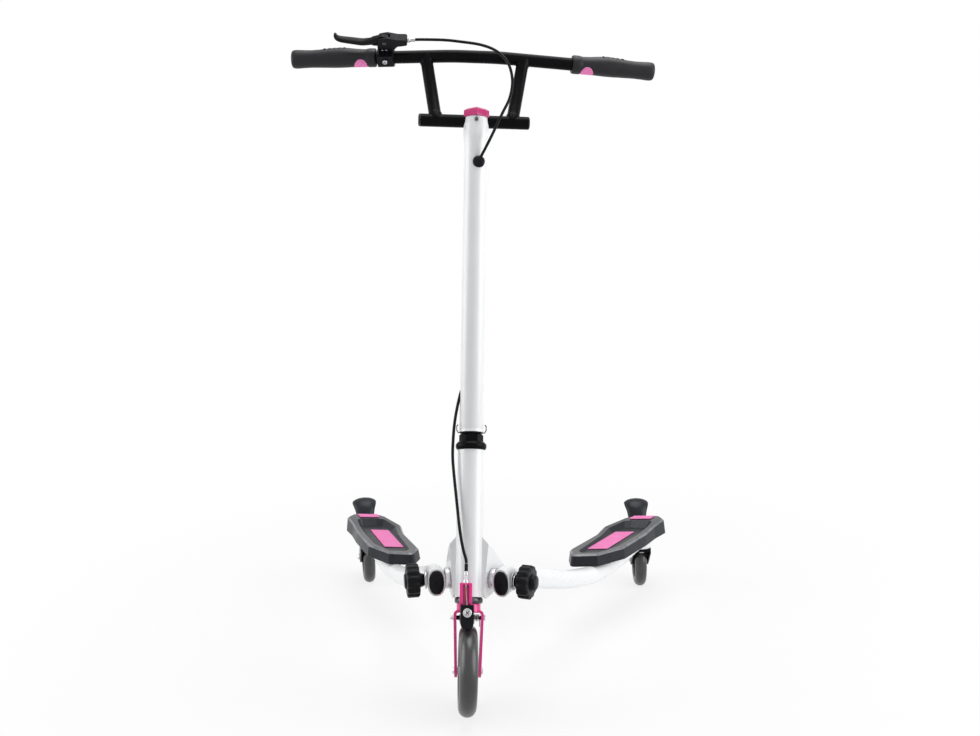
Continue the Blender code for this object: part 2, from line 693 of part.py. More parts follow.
def build_brake_spring(steer):
    """Torsion spring round the pin, between the arm and the blade, with one straight leg each way."""
    start = BRAKE_X + BRAKE_BLOCK_WIDTH / 2 + 0.0016
    end = FORK_TOP_HALF - FORK_STRIP - 0.0024
    per_turn = 8
    total = SPRING_TURNS * per_turn
    points = []
    for k in range(total + 1):
        a = 2 * pi * k / per_turn
        x = start + (end - start) * k / total
        points.append(Vector((x, BRAKE_PIVOT_Y + SPRING_RADIUS * cos(a), BRAKE_PIVOT_HEIGHT + SPRING_RADIUS * sin(a))))
    first = points[0] + Vector((0, 0, -0.0095))
    last = points[-1] + Vector((0, 0, -0.0140))
    pitch = (end - start) / SPRING_TURNS
    print("brake_return_spring: least gap to itself", round((pitch - 2 * SPRING_WIRE) * 1000, 2), "mm")
    add_cord("brake_return_spring", [first] + points + [last], SPRING_WIRE, 1, "steel", steer)


def build_head_tube(head):
    """Head tube with the bracket that carries both hinges: front gusset sheet, cheeks and rear sheet."""
    tube = turned(((HEAD_TUBE_BORE, HEAD_TUBE_LOW), (HEAD_TUBE_RADIUS, HEAD_TUBE_LOW),
                   (HEAD_TUBE_RADIUS, HEAD_TUBE_TOP), (HEAD_TUBE_BORE, HEAD_TUBE_TOP)), 24)
    frame = add_mesh("head_tube_frame", tube, "white_paint", head)
    sheet = 0.0035
    front = -0.0055
    for side in (-1, 1):
        outline = [(side * x, z) for x, z in ((0.0130, 0.2160), (0.0215, 0.2120), (0.0322, 0.2000),
                                              (0.0296, 0.1690), (0.0250, 0.1180), (0.0130, 0.1165))]
        join(frame, prism(outline, "Y", front - sheet / 2, front + sheet / 2))
        join(frame, cheek(side, head))
    back = ((-0.0345, 0.1260), (0.0345, 0.1260), (0.0345, 0.1540), (-0.0345, 0.1540))
    join(frame, prism(back, "Y", BRACKET_REAR, BRACKET_REAR + sheet))
    cut(frame, disc(HEAD_TUBE_BORE, HEAD_TUBE_LOW - 0.01, HEAD_TUBE_TOP + 0.01, 24))
    for side in (-1, 1):
        bore = disc(STUD_RADIUS + TOUCH, 0.018, 0.060, 14)
        bmesh.ops.transform(bore, matrix=hinge_in_head(side), verts=bore.verts)
        cut(frame, bore)
    return frame


def hinge_matrix(side):
    """Frame of a hinge: origin where its axis meets the middle plane, Z out along the axis, Y up."""
    out = Vector((side * cos(HINGE_SPLAY), -sin(HINGE_SPLAY), 0))
    up = Vector((0, 0, 1))
    spot = Vector((0, FRONT_AXLE_Y + HINGE_Y + HINGE_X * tan(HINGE_SPLAY), HINGE_Z))
    basis = Matrix((up.cross(out), up, out)).transposed().to_4x4()
    return Matrix.Translation(spot) @ basis


def hinge_in_head(side):
    return head_matrix().inverted() @ hinge_matrix(side)


def head_matrix():
    return Matrix.Translation((0, FRONT_AXLE_Y, FRONT_RADIUS)) @ Matrix.Rotation(-HEAD_ANGLE, 4, "X")


def cheek(side, head):
    """Side plate of the bracket, square to the hinge's axis, with a boss for the stud."""
    outline = fillet(((-0.0338, -0.0185), (-0.0240, -0.0270), (0.0160, -0.0270), (0.0640, -0.0165),
                      (0.0715, -0.0077), (0.0140, 0.0431), (-0.0062, 0.0600)), 0.006, 1)
    plate = prism([(side * x, z) for x, z in outline], "Z", CHEEK_INNER, CHEEK_OUTER)
    bmesh.ops.transform(plate, matrix=hinge_in_head(side), verts=plate.verts)
    return plate


HINGE_LEG = HINGE_X / cos(HINGE_SPLAY)
LEG_HALF_WIDTH = 0.0150
CHEEK_OUTER = 0.0355
CHEEK_INNER = 0.0318
BRACKET_REAR = 0.0335


def build_hinge_stud(side, name):
    """Stud held in the bracket, with a shoulder between the bracket and the leg."""
    frame = empty(name + "_axis", hinge_matrix(side))
    leg_in = HINGE_LEG - LEG_HALF_WIDTH
    end = HINGE_LEG + LEG_HALF_WIDTH + 0.0260
    stud = turned(((0, 0.0262), (0.0095, 0.0262), (0.0095, CHEEK_INNER - TOUCH),
                   (STUD_RADIUS, CHEEK_INNER - TOUCH), (STUD_RADIUS, CHEEK_OUTER + TOUCH),
                   (0.0165, CHEEK_OUTER + TOUCH), (0.0172, CHEEK_OUTER + 0.0010), (0.0172, leg_in - 0.0010),
                   (0.0165, leg_in - TOUCH), (STUD_RADIUS, leg_in - TOUCH), (STUD_RADIUS, end - 0.0010),
                   (STUD_RADIUS - 0.0010, end), (0, end)), 14, closed=False)
    add_mesh(name, stud, "steel", frame)


def build_knob(side, name):
    """Fluted clamping knob on the end of a stud, with a conical hub inside and a boss outside."""
    start = HINGE_LEG + LEG_HALF_WIDTH + 0.0033
    frame = empty(name + "_axis", hinge_matrix(side) @ Matrix.Translation((0, 0, start)))
    face = 0.0080
    hub = turned(((0, 0), (0.0090, 0), (0.0130, face + 0.0010), (0.0125, face + KNOB_WIDTH - 0.0010),
                  (0.0110, face + KNOB_WIDTH + 0.0070), (0.0090, face + KNOB_WIDTH + 0.0085),
                  (0, face + KNOB_WIDTH + 0.0085)), 14, closed=False)
    knob = add_mesh(name, hub, "black_plastic", frame)
    rim = []
    count = KNOB_FLUTES * 2
    for low, bevel in ((face, 0.0018), (face + 0.0018, 0.0), (face + KNOB_WIDTH - 0.0018, 0.0),
                       (face + KNOB_WIDTH, 0.0018)):
        ring_points = []
        for k in range(count):
            a = 2 * pi * k / count
            r = KNOB_RADIUS - bevel - 0.0011 * (1 - cos(KNOB_FLUTES * a))
            ring_points.append((r * cos(a), r * sin(a), low))
        rim.append(ring_points)
    join(knob, loft(rim))
    cut(knob, disc(STUD_RADIUS + TOUCH, -0.001, 0.0233, 14))
    return knob


def build_headset(head, steer):
    low = turned(((CUP_BORE, FORK_NECK_TOP + TOUCH), (CUP_RADIUS, FORK_NECK_TOP + TOUCH),
                  (CUP_RADIUS, HEAD_TUBE_LOW - TOUCH), (HEAD_TUBE_BORE - TOUCH, HEAD_TUBE_LOW - TOUCH),
                  (HEAD_TUBE_BORE - TOUCH, HEAD_TUBE_LOW + CUP_LIP), (CUP_BORE, HEAD_TUBE_LOW + CUP_LIP)), 24)
    add_mesh("lower_headset_cup", low, "steel", head)
    base = HEAD_TUBE_TOP + TOUCH
    top = base + UPPER_CUP_HEIGHT
    cup = turned(((CUP_BORE, top), (UPPER_CUP_RADIUS - 0.0035, top), (UPPER_CUP_RADIUS, top - 0.0045),
                  (UPPER_CUP_RADIUS, base + 0.0030), (UPPER_CUP_RADIUS - 0.0020, base),
                  (HEAD_TUBE_BORE - TOUCH, base), (HEAD_TUBE_BORE - TOUCH, base - CUP_LIP),
                  (CUP_BORE, base - CUP_LIP)), 24)
    add_mesh("upper_headset_cup", cup, "black_paint", head)
    inner = STEERER_RADIUS + TOUCH
    outer = CUP_BORE - TOUCH
    add_mesh("lower_bearing", ring(inner, outer, FORK_NECK_TOP + TOUCH, FORK_NECK_TOP + 0.0100, 20), "steel", steer)
    nut_base = top + TOUCH
    add_mesh("upper_bearing", ring(inner, outer, nut_base - 0.0100, nut_base - 2 * TOUCH, 20), "steel", steer)
    nut_top = nut_base + NUT_HEIGHT
    corner = NUT_ACROSS_CORNERS / 2
    locknut = add_mesh("headset_lock_nut", disc(corner, nut_base, nut_top, 6), "black_paint", steer)
    chamfer = turned(((0, nut_base - 0.001), (corner + 0.001, nut_base - 0.001), (corner + 0.001, nut_top - 0.0040),
                      (corner - 0.0035, nut_top), (corner - 0.0045, nut_top + 0.0010), (0, nut_top + 0.0010)),
                     12, closed=False)
    add_boolean(locknut, chamfer, "INTERSECT")
    cut(locknut, disc(inner, nut_base - 0.01, nut_top + 0.01, 20))
    build_cable_guide(steer, nut_top + TOUCH)
    return nut_top + TOUCH


def build_cable_guide(steer, base):
    """Thin washer over the lock nut with a hooked ear at each side."""
    guide = add_mesh("cable_guide", ring(STEERER_RADIUS + TOUCH, 0.0192, base, base + 0.0014, 20), "black_paint", steer)
    hook = ((0.0180, 0.0), (0.0222, 0.0), (0.0250, 0.0045), (0.0250, 0.0120), (0.0226, 0.0145),
            (0.0213, 0.0130), (0.0226, 0.0124), (0.0236, 0.0112), (0.0236, 0.0055), (0.0214, 0.0014),
            (0.0180, 0.0014))
    for side in (-1, 1):
        outline = [(side * x, base + z) for x, z in hook]
        join(guide, prism(outline, "Y", -0.0045, -0.0020))


def build_stem(steer, base, route):
    foot = base + 0.0014 + TOUCH
    outline = ((STEM_BORE, foot), (STEM_RADIUS, foot), (STEM_RADIUS, SLEEVE_LOW), (SLEEVE_RADIUS, SLEEVE_LOW + 0.012),
               (SLEEVE_RADIUS, STEM_TOP), (STEM_BORE, STEM_TOP))
    stem = add_mesh("stem", turned(outline, 20), "white_paint", steer)
    bar = along_x(disc(BAR_RADIUS + 0.0006, -0.05, 0.05, 14))
    cut(stem, moved(bar, (0, 0, CROSSBAR_HEIGHT)))
    cut(stem, pipe(route, CABLE_RADIUS + 0.0006, 10))
    build_stem_cap(steer)
    return stem


def build_stem_cap(steer):
    """Six-sided cap over the sleeve, notched where the crossbar goes through."""
    corner = CAP_CORNER_RADIUS
    bore = SLEEVE_RADIUS + TOUCH
    roof = STEM_TOP + TOUCH
    shell = turned(((0, roof), (bore, roof), (bore, CAP_LOW), (corner, CAP_LOW), (corner, CAP_TOP - 0.0060),
                    (corner - 0.0085, CAP_TOP), (0, CAP_TOP)), 6, closed=False)
    bmesh.ops.rotate(shell, verts=shell.verts, cent=(0, 0, 0), matrix=Matrix.Rotation(radians(30), 3, "Z"))
    for vert in shell.verts:
        if vert.co.z < roof + 0.0001 and hypot(vert.co.x, vert.co.y) > 0.001:
            if hypot(vert.co.x, vert.co.y) < corner - 0.0001:
                vert.co.x *= 0.98
                vert.co.y *= 0.98
    cap = add_mesh("stem_cap", shell, "pink_paint", steer)
    cut(cap, disc(bore, CAP_LOW - 0.01, roof, 20))
    notch = along_x(disc(BAR_RADIUS + 0.0008, -0.05, 0.05, 14))
    cut(cap, moved(notch, (0, 0, CROSSBAR_HEIGHT)))
    slot = box((-0.05, -BAR_RADIUS - 0.0008, CAP_LOW - 0.01), (0.05, BAR_RADIUS + 0.0008, CROSSBAR_HEIGHT))
    cut(cap, slot)
    return cap


def bar_line():
    """Centre line of the upper bar: straight middle, one bend each side, two straight arms."""
    tip = BAR_HALF - GRIP_END_WALL - 0.0005
    half = [(0.0, 0.0), (BAR_BEND_HALF - 0.018, 0.0)]
    for k in range(1, 4):
        x = BAR_BEND_HALF - 0.018 + 0.012 * k
        half.append((x, (0.012 * k) ** 2 / (4 * 0.018) * tan(BAR_SWEEP)))
    half.append((tip, (tip - BAR_BEND_HALF) * tan(BAR_SWEEP)))
    right = [Vector((x, y, BAR_RISE)) for x, y in half]
    left = [Vector((-p.x, p.y, p.z)) for p in reversed(right[1:])]
    return left + right


def arm_matrix(side):
    """Frame on a bar's arm: origin at its bend, X outward along the arm, Z up."""
    out = Vector((side * cos(BAR_SWEEP), sin(BAR_SWEEP), 0))
    up = Vector((0, 0, 1))
    basis = Matrix((out, up.cross(out), up)).transposed().to_4x4()
    return Matrix.Translation((side * BAR_BEND_HALF, 0, BAR_RISE)) @ basis


ARM_END = (BAR_HALF - BAR_BEND_HALF) / cos(BAR_SWEEP)


def build_handlebar(bar):
    """Welded H of three tubes: crossbar, two leaning posts and the swept upper bar."""
    body = add_mesh("handlebar", pipe(bar_line(), BAR_RADIUS, 14), "black_paint", bar)
    cross = along_x(disc(BAR_RADIUS, -CROSSBAR_HALF, CROSSBAR_HALF, 14))
    for side in (-1, 1):
        low = Vector((side * POST_LOW_X, 0, 0))
        top_y = (POST_TOP_X - BAR_BEND_HALF) * tan(BAR_SWEEP)
        high = Vector((side * POST_TOP_X, top_y, BAR_RISE))
        join(body, pipe([low, high], BAR_RADIUS - 0.0002, 12))
    join(body, cross)
    for side in (-1, 1):
        seat = along_x(disc(BAR_RADIUS - 0.0018, -0.008, 0.008, 12))
        cut(body, moved(seat, (side * CROSSBAR_HALF, 0, 0)))
    for side, name in ((-1, "left_crossbar_cap"), (1, "right_crossbar_cap")):
        cap = turned(((0, -0.0070), (BAR_RADIUS - 0.0021, -0.0070), (BAR_RADIUS - 0.0021, TOUCH),
                      (BAR_RADIUS, TOUCH), (BAR_RADIUS - 0.0006, 0.0022), (BAR_RADIUS - 0.0030, 0.0030),
                      (0, 0.0032)), 12, closed=False)
        if side < 0:
            bmesh.ops.rotate(cap, verts=cap.verts, cent=(0, 0, 0), matrix=Matrix.Rotation(pi, 3, "X"))
        add_mesh(name, along_x(cap), "black_plastic", bar, (0, 0, 0)).location = (side * CROSSBAR_HALF, 0, 0)


GRIP_RADII = ((0.0, 0.0162, 0.0), (0.013, 0.0163, 0.0), (0.016, 0.0150, 0.0), (0.033, 0.0156, 0.0003),
              (0.062, 0.0175, 0.0014), (0.088, 0.0167, 0.0008), (0.112, 0.0152, 0.0), (0.140, 0.0162, 0.0),
              (0.1500, 0.0125, 0.0))


def grip_shape(swell, sides):
    """The grip's outer skin grown by swell: radius and lift of each section along it."""
    start = ARM_END - GRIP_LENGTH
    rings = []
    for along, radius, lift in GRIP_RADII:
        ring_points = []
        for k in range(sides):
            a = 2 * pi * k / sides
            r = radius + swell
            ring_points.append((start + along, r * cos(a), lift + r * sin(a)))
        rings.append(ring_points)
    return loft(rings)


def build_grip(bar, side, name):
    frame = empty(name + "_arm", arm_matrix(side), bar)
    grip = add_mesh(name, grip_shape(0.0, 14), "grip_rubber", frame)
    start = ARM_END - GRIP_LENGTH
    bore = along_x(disc(BAR_RADIUS + 0.0006, start - 0.01, ARM_END - GRIP_END_WALL, 14))
    cut(grip, bore)
    cut(grip, inlay_plug(side, 0.0))
    inlay = add_mesh(name + "_inlay", inlay_plug(side, TOUCH), "pink_rubber", frame)
    add_boolean(inlay, grip_shape(0.0, 14), "INTERSECT")


def inlay_plug(side, shrink):
    """Round plug that points forward and down from a grip's axis, for the coloured inlay."""
    radius = INLAY_RADIUS - shrink
    plug = disc(radius, 0.0134 + shrink, 0.03, 16)
    tip = -side
    aim = Vector((0, tip * cos(radians(52)), -sin(radians(52))))
    turn = Vector((0, 0, 1)).rotation_difference(aim).to_matrix()
    bmesh.ops.rotate(plug, verts=plug.verts, cent=(0, 0, 0), matrix=turn)
    return moved(plug, (ARM_END - GRIP_LENGTH + INLAY_FROM_INNER_END, 0, 0))


def lever_matrix():
    """Frame of the brake lever: on the left arm, X to the viewer's right, Z from the bar to the lever."""
    along = Vector((cos(BAR_SWEEP), -sin(BAR_SWEEP), 0))
    front = Vector((-sin(BAR_SWEEP), -cos(BAR_SWEEP), 0))
    out = front * cos(LEVER_RISE) + Vector((0, 0, sin(LEVER_RISE)))
    basis = Matrix((along, out.cross(along), out)).transposed().to_4x4()
    reach = LEVER_X - BAR_BEND_HALF
    return Matrix.Translation((-LEVER_X, reach * tan(BAR_SWEEP), BAR_RISE)) @ basis


def build_lever(bar):
    frame = empty("lever_frame", lever_matrix(), bar)
    build_perch(frame)
    pivot = empty("brake_lever_pivot", Matrix.Translation((LEVER_PIVOT[0], 0, LEVER_PIVOT[1])), frame)
    build_lever_blade(pivot)
    pin = turned(((0, PERCH_HALF + 0.0014), (0.0036, PERCH_HALF + 0.0014), (0.0042, PERCH_HALF + TOUCH),
                  (LEVER_PIN_RADIUS, PERCH_HALF + TOUCH), (LEVER_PIN_RADIUS, -PERCH_HALF - 0.0010),
                  (0, -PERCH_HALF - 0.0010)), 14, closed=False)
    add_mesh("lever_pivot_pin", moved(along_front(pin), (LEVER_PIVOT[0], 0, LEVER_PIVOT[1])), "steel", frame)
    screw = turned(((0, 0.0016), (0.0024, 0.0016), (0.0026, 0.0026), (0.0038, 0.0028), (0.0045, 0.0018),
                    (0.0045, TOUCH), (0, TOUCH)), 14, closed=False)
    add_mesh("perch_clamp_bolt", moved(along_front(screw), (0, -CLAMP_RADIUS - 0.0020, 0)), "steel", frame)
    barrel = turned(((0.0028, BARREL_END + TOUCH), (0.0046, BARREL_END + TOUCH), (0.0046, BARREL_END + 0.0045),
                     (0.0034, BARREL_END + 0.0055), (0.0034, BARREL_END + 0.0120), (0.0030, BARREL_END + 0.0138),
                     (0.0012, BARREL_END + 0.0138), (0.0012, BARREL_END - 0.0060), (0.0028, BARREL_END - 0.0060)),
                    10)
    add_mesh("lever_cable_adjuster", moved(along_x(barrel), (0, 0, BARREL_HEIGHT)), "steel", frame)


def build_perch(frame):
    """Clamp band round the bar, its neck, the slotted lever housing and the cable barrel."""
    band = along_x(ring(BAR_RADIUS + TOUCH, CLAMP_RADIUS, -CLAMP_WIDTH / 2, CLAMP_WIDTH / 2, 16))
    perch = add_mesh("lever_perch", band, "black_plastic", frame)
    join(perch, box((-0.0095, -CLAMP_RADIUS - 0.0020, -0.0085), (0.0095, -BAR_RADIUS - 0.0012, 0.0085)))
    profile = fillet(((-0.0100, 0.0125), (-0.0110, 0.0330), (-0.0070, 0.0500), (0.0080, 0.0530), (0.0260, 0.0480),
                      (BARREL_END, BARREL_HEIGHT + 0.0062), (BARREL_END, BARREL_HEIGHT - 0.0062),
                      (0.0240, 0.0325), (0.0160, 0.0240), (0.0130, 0.0125)), 0.004, 1)
    join(perch, prism(profile, "Y", -PERCH_HALF, PERCH_HALF))
    cut(perch, along_x(disc(BAR_RADIUS + TOUCH, -0.03, 0.03, 16)))
    slot_half = LEVER_KNUCKLE_HALF + TOUCH
    slot = prism(((-0.030, 0.0240), (-0.030, 0.0600), (0.0130, 0.0600), (0.0140, 0.0290), (0.004, 0.0270)),
                 "Y", -slot_half, slot_half)
    cut(perch, slot)
    pin = along_front(disc(LEVER_PIN_RADIUS + TOUCH, -0.02, 0.02, 12))
    cut(perch, moved(pin, (LEVER_PIVOT[0], 0, LEVER_PIVOT[1])))
    bore = along_x(disc(0.0031, 0.0120, BARREL_END + 0.01, 12))
    cut(perch, moved(bore, (0, 0, BARREL_HEIGHT)))
    return perch


def build_lever_blade(pivot):
    """Knuckle in the perch's slot and the finger blade, which opens outward and ends in a hook."""
    knuckle = fillet(((0.0085, -0.0060), (0.0085, 0.0070), (-0.0040, 0.0122), (-0.0200, 0.0080),
                      (-0.0330, 0.0035), (-0.0330, -0.0050), (-0.0200, -0.0078), (-0.0050, -0.0095)), 0.004, 2)
    blade = add_mesh("brake_lever", prism(knuckle, "Y", -LEVER_KNUCKLE_HALF, LEVER_KNUCKLE_HALF),
                     "black_paint", pivot)
    rings = []
    stations = ((-0.0160, 0.0010, 0.0066, 0.0052), (-0.0260, -0.0010, 0.0036, 0.0062),
                (-0.0400, -0.0012, 0.0036, 0.0066), (-0.0620, 0.0020, 0.0034, 0.0064),
                (-0.0820, 0.0060, 0.0034, 0.0058), (-0.0900, 0.0085, 0.0036, 0.0052),
                (-0.0950, 0.0130, 0.0034, 0.0048), (-0.0955, 0.0185, 0.0026, 0.0042))
    way = Vector((-1, 0, 0))
    for i, (x, z, thick, wide) in enumerate(stations):
        centre = Vector((x, 0, z))
        if i + 1 < len(stations):
            way = (Vector((stations[i + 1][0], 0, stations[i + 1][1])) - centre).normalized()
        across = Vector((-way.z, 0, way.x))
        points = []
        for k in range(8):
            a = 2 * pi * (k + 0.5) / 8
            flat = abs(cos(a)) ** 0.7 * (1 if cos(a) > 0 else -1)
            tall = abs(sin(a)) ** 0.7 * (1 if sin(a) > 0 else -1)
            points.append(centre + Vector((0, wide * flat, 0)) + across * thick * tall)
        rings.append(points)
    blade_shape = loft(rings)
    join(blade, blade_shape)
    cut(blade, along_front(disc(LEVER_PIN_RADIUS + TOUCH, -0.02, 0.02, 12)))
    return blade


def cable_route(bar_in_steer):
    """The housing's route in the steering frame: lever, loop, grommet, down the stem, round the head tube."""
    lever = bar_in_steer @ lever_matrix()
    start = lever @ Vector((BARREL_END + 0.0138 + TOUCH, 0, BARREL_HEIGHT))
    lead = lever @ Vector((BARREL_END + 0.0260, 0, BARREL_HEIGHT))
    foot = cable_foot()
    points = [start, lead, (-0.0600, -0.0200, 1.0645), (-0.0300, -0.0220, 1.0615), (0.0060, -0.0260, 1.0550),
              (0.0326, -0.0310, 1.0420), (0.0516, -0.0350, 1.0200), (0.0595, -0.0375, 0.9885),
              (0.0554, -0.0390, 0.9550), (0.0421, -0.0385, 0.9244), (0.0224, -0.0325, 0.8807),
              (0.0060, -0.0215, 0.8480), (0.0010, -0.0100, 0.8280), (0.0, -0.0020, 0.8000), (0.0, 0.0, 0.7600),
              (0.0, 0.0, 0.5200), (-0.0040, 0.0, 0.4900), (-0.0120, -0.0010, 0.4680), (-0.0190, -0.0020, 0.4480),
              (-0.0250, -0.0030, 0.4194), (-0.0284, -0.0045, 0.3940), (-0.0300, -0.0065, 0.3690),
              (-0.0304, -0.0090, 0.3440), (-0.0285, -0.0120, 0.3190), (-0.0229, -0.0185, 0.2700),
              (-0.0170, -0.0250, 0.2215), (-0.0115, -0.0305, 0.1920), foot + Vector((-0.0008, 0, 0.0070)), foot]
    return even_path(points, 0.0150)


def build_cable(steer, route):
    add_cord("brake_cable_housing", route, CABLE_RADIUS, 2, "black_plastic", steer)
    seat = turned(((0, 0.0150), (0.0100, 0.0150), (0.0105, 0.0220), (0.0085, 0.0242), (0, 0.0248)), 20,
                  closed=False)
    grommet = add_mesh("cable_grommet", moved(along_front(seat), (0.0048, 0, 0.8460)), "black_plastic", steer)
    cut(grommet, disc(STEM_RADIUS + TOUCH, 0.40, 0.90, 20))
    cut(grommet, pipe(route, CABLE_RADIUS + TOUCH, 10))


def side_shape(bm, side):
    """Mirrors a shape made for the viewer's right when it is for the left."""
    if side < 0:
        bmesh.ops.scale(bm, vec=(-1, 1, 1), verts=bm.verts)
        bmesh.ops.reverse_faces(bm, faces=bm.faces)
    return bm


def leg_sections(swell, sides=10):
    """Rings of the leg tube on the viewer's right, grown by swell, from its front end to the caster."""
    front = Vector((-sin(HINGE_SPLAY), -cos(HINGE_SPLAY), 0))
    hinge = Vector((HINGE_X, HINGE_Y, HINGE_Z))
    stations = [(*(hinge + front * LEG_FRONT), LEG_HALF_WIDTH, 0.0230),
                (*hinge, LEG_HALF_WIDTH, 0.0230)]
    stations += list(LEG_STATIONS) + [(PIVOT_X, PIVOT_Y, HOUSING_MIDDLE, 0.0150, 0.0165)]
    path = smooth_path(stations, 2)
    rings = []
    for i, station in enumerate(path):
        centre = Vector(station[:3])
        way = Vector(path[min(i + 1, len(path) - 1)][:3]) - Vector(path[max(i - 1, 0)][:3])
        if i == 0:
            way = -front
        way.normalize()
        aside = way.cross(Vector((0, 0, 1))).normalized()
        upward = aside.cross(way)
        points = []
        for k in range(sides):
            a = 2 * pi * k / sides
            flat = abs(cos(a)) ** 0.8 * (1 if cos(a) > 0 else -1)
            tall = abs(sin(a)) ** 0.8 * (1 if sin(a) > 0 else -1)
            points.append(centre + aside * (station[3] + swell) * flat + upward * (station[4] + swell) * tall)
        rings.append(points)
    return rings


def build_leg(ride_frame, side, name):
    """Bent oval tube from the hinge to the caster's housing, with its plug, footplate and pads."""
    spot = Vector((side * HINGE_X, HINGE_Y, HINGE_Z))
    hinge = empty(name + "_hinge", Matrix.Translation(spot), ride_frame)
    tube = side_shape(loft(leg_sections(0.0)), side)
    leg = add_mesh(name + "_tube", moved(tube, -spot), "white_paint", hinge)
    housing = disc(HOUSING_RADIUS, HOUSING_MIDDLE - HOUSING_HALF, HOUSING_MIDDLE + HOUSING_HALF, 18)
    pivot = Vector((side * PIVOT_X, PIVOT_Y, 0))
    join(leg, moved(housing, pivot - spot))
    well = HOUSING_MIDDLE + HOUSING_HALF - NUT_WELL
    bore = turned(((0, 0.05), (KINGPIN_RADIUS + TOUCH, 0.05), (KINGPIN_RADIUS + TOUCH, well), (0.0108, well),
                   (0.0108, 0.16), (0, 0.16)), 14, closed=False)
    cut(leg, moved(bore, pivot - spot))
    stud = disc(STUD_RADIUS + TOUCH, 0.03, 0.09, 14)
    to_hinge = Matrix.Translation(-(Vector((0, FRONT_AXLE_Y, 0)) + spot)) @ hinge_matrix(side)
    bmesh.ops.transform(stud, matrix=to_hinge, verts=stud.verts)
    cut(leg, stud)
    cut(leg, moved(side_shape(plug_shape(0.0025, -PLUG_DEPTH - TOUCH, 0.01, 0.0), side), -spot))
    plug = side_shape(plug_shape(0.0025 + TOUCH, -PLUG_DEPTH, 0.0, 0.0045), side)
    add_mesh(name + "_plug", moved(plug, -spot), "black_plastic", hinge)
    build_footplate(hinge, side, name, spot)
    return hinge


def plug_shape(wall, inner, outer, dome):
    """Oval plug in the front end of a leg: wall is how far it lies inside the tube's skin."""
    front = Vector((-sin(HINGE_SPLAY), -cos(HINGE_SPLAY), 0))
    aside = Vector((cos(HINGE_SPLAY), -sin(HINGE_SPLAY), 0))
    face = Vector((HINGE_X, HINGE_Y, HINGE_Z)) + front * LEG_FRONT
    steps = [(inner, 1.0), (outer, 1.0)]
    if dome:
        steps += [(outer + dome * 0.5, 0.93), (outer + dome * 0.85, 0.75), (outer + dome, 0.45)]
    rings = []
    for depth, share in steps:
        points = []
        for k in range(12):
            a = 2 * pi * k / 12
            flat = abs(cos(a)) ** 0.8 * (1 if cos(a) > 0 else -1)
            tall = abs(sin(a)) ** 0.8 * (1 if sin(a) > 0 else -1)
            points.append(face + front * depth + aside * (LEG_HALF_WIDTH - wall) * share * flat
                          + Vector((0, 0, (0.0230 - wall) * share * tall)))
        rings.append(points)
    return loft(rings)


def kicked(points, height):
    """Outline points at a height, lifted toward the rear where the plate kicks up."""
    result = []
    for p in points:
        t = max(0.0, min(1.0, (p[1] - DECK_KICK_START) / (0.575 - DECK_KICK_START)))
        result.append((p[0], p[1], height + DECK_KICK * t * t * (3 - 2 * t)))
    return result


def build_footplate(hinge, side, name, spot):
    """Moulded plate: raised chamfered rim, sunk floor, flared skirt, hollow below, saddles on the tube."""
    outer = [Vector(p) for p in DECK_OUTLINE]
    corner = 0.009
    level = DECK_TOP - 0.0030
    under = DECK_FLOOR - DECK_FLOOR_THICKNESS
    skirt = fillet(grow(outer, DECK_FLARE), corner, 1)
    inner_skirt = fillet(grow(outer, DECK_FLARE - DECK_WALL), corner, 1)
    inner_top = fillet(grow(outer, -DECK_WALL - 0.001), corner, 1)
    rings = [
        [(p[0], p[1], under) for p in inner_top],
        [(p[0], p[1], DECK_BOTTOM) for p in inner_skirt],
        [(p[0], p[1], DECK_BOTTOM) for p in skirt],
        kicked(fillet(outer, corner, 1), level),
        kicked(fillet(grow(outer, -0.0035), corner, 1), DECK_TOP),
        kicked(fillet(DECK_RIM_INNER, corner * 0.6, 1), DECK_TOP - 0.0005),
        [(p[0], p[1], DECK_FLOOR) for p in fillet(DECK_FLOOR_OUTLINE, corner * 0.5, 1)],
    ]
    plate = side_shape(loft(rings), side)
    deck = add_mesh(name.replace("leg", "footplate"), moved(plate, -spot), "slate_plastic", hinge)
    for y in (0.435, 0.505):
        x = leg_at(y).x
        rib = box((x - 0.019, y - 0.005, leg_at(y).y), (x + 0.019, y + 0.005, under + 0.001))
        join(deck, moved(side_shape(rib, side), -spot))
    cut(deck, moved(side_shape(loft(leg_sections(TOUCH + 0.0002)), side), -spot))
    pad = prism(fillet(FRONT_PAD, 0.002, 2), "Z", DECK_FLOOR + TOUCH, DECK_FLOOR + TOUCH + PAD_THICKNESS)
    add_mesh(name.replace("leg", "foot_pad"), moved(side_shape(pad, side), -spot), "pink_rubber", hinge)


def leg_at(y):
    """Where the leg's centre line lies, sideways and up, at a distance behind the front axle."""
    path = [(*station[:3],) for station in LEG_STATIONS] + [(PIVOT_X, PIVOT_Y, HOUSING_MIDDLE)]
    for a, b in zip(path, path[1:]):
        if a[1] <= y <= b[1]:
            share = (y - a[1]) / (b[1] - a[1])
            return Vector((a[0] + (b[0] - a[0]) * share, a[2] + (b[2] - a[2]) * share))
    return Vector((PIVOT_X, HOUSING_MIDDLE))


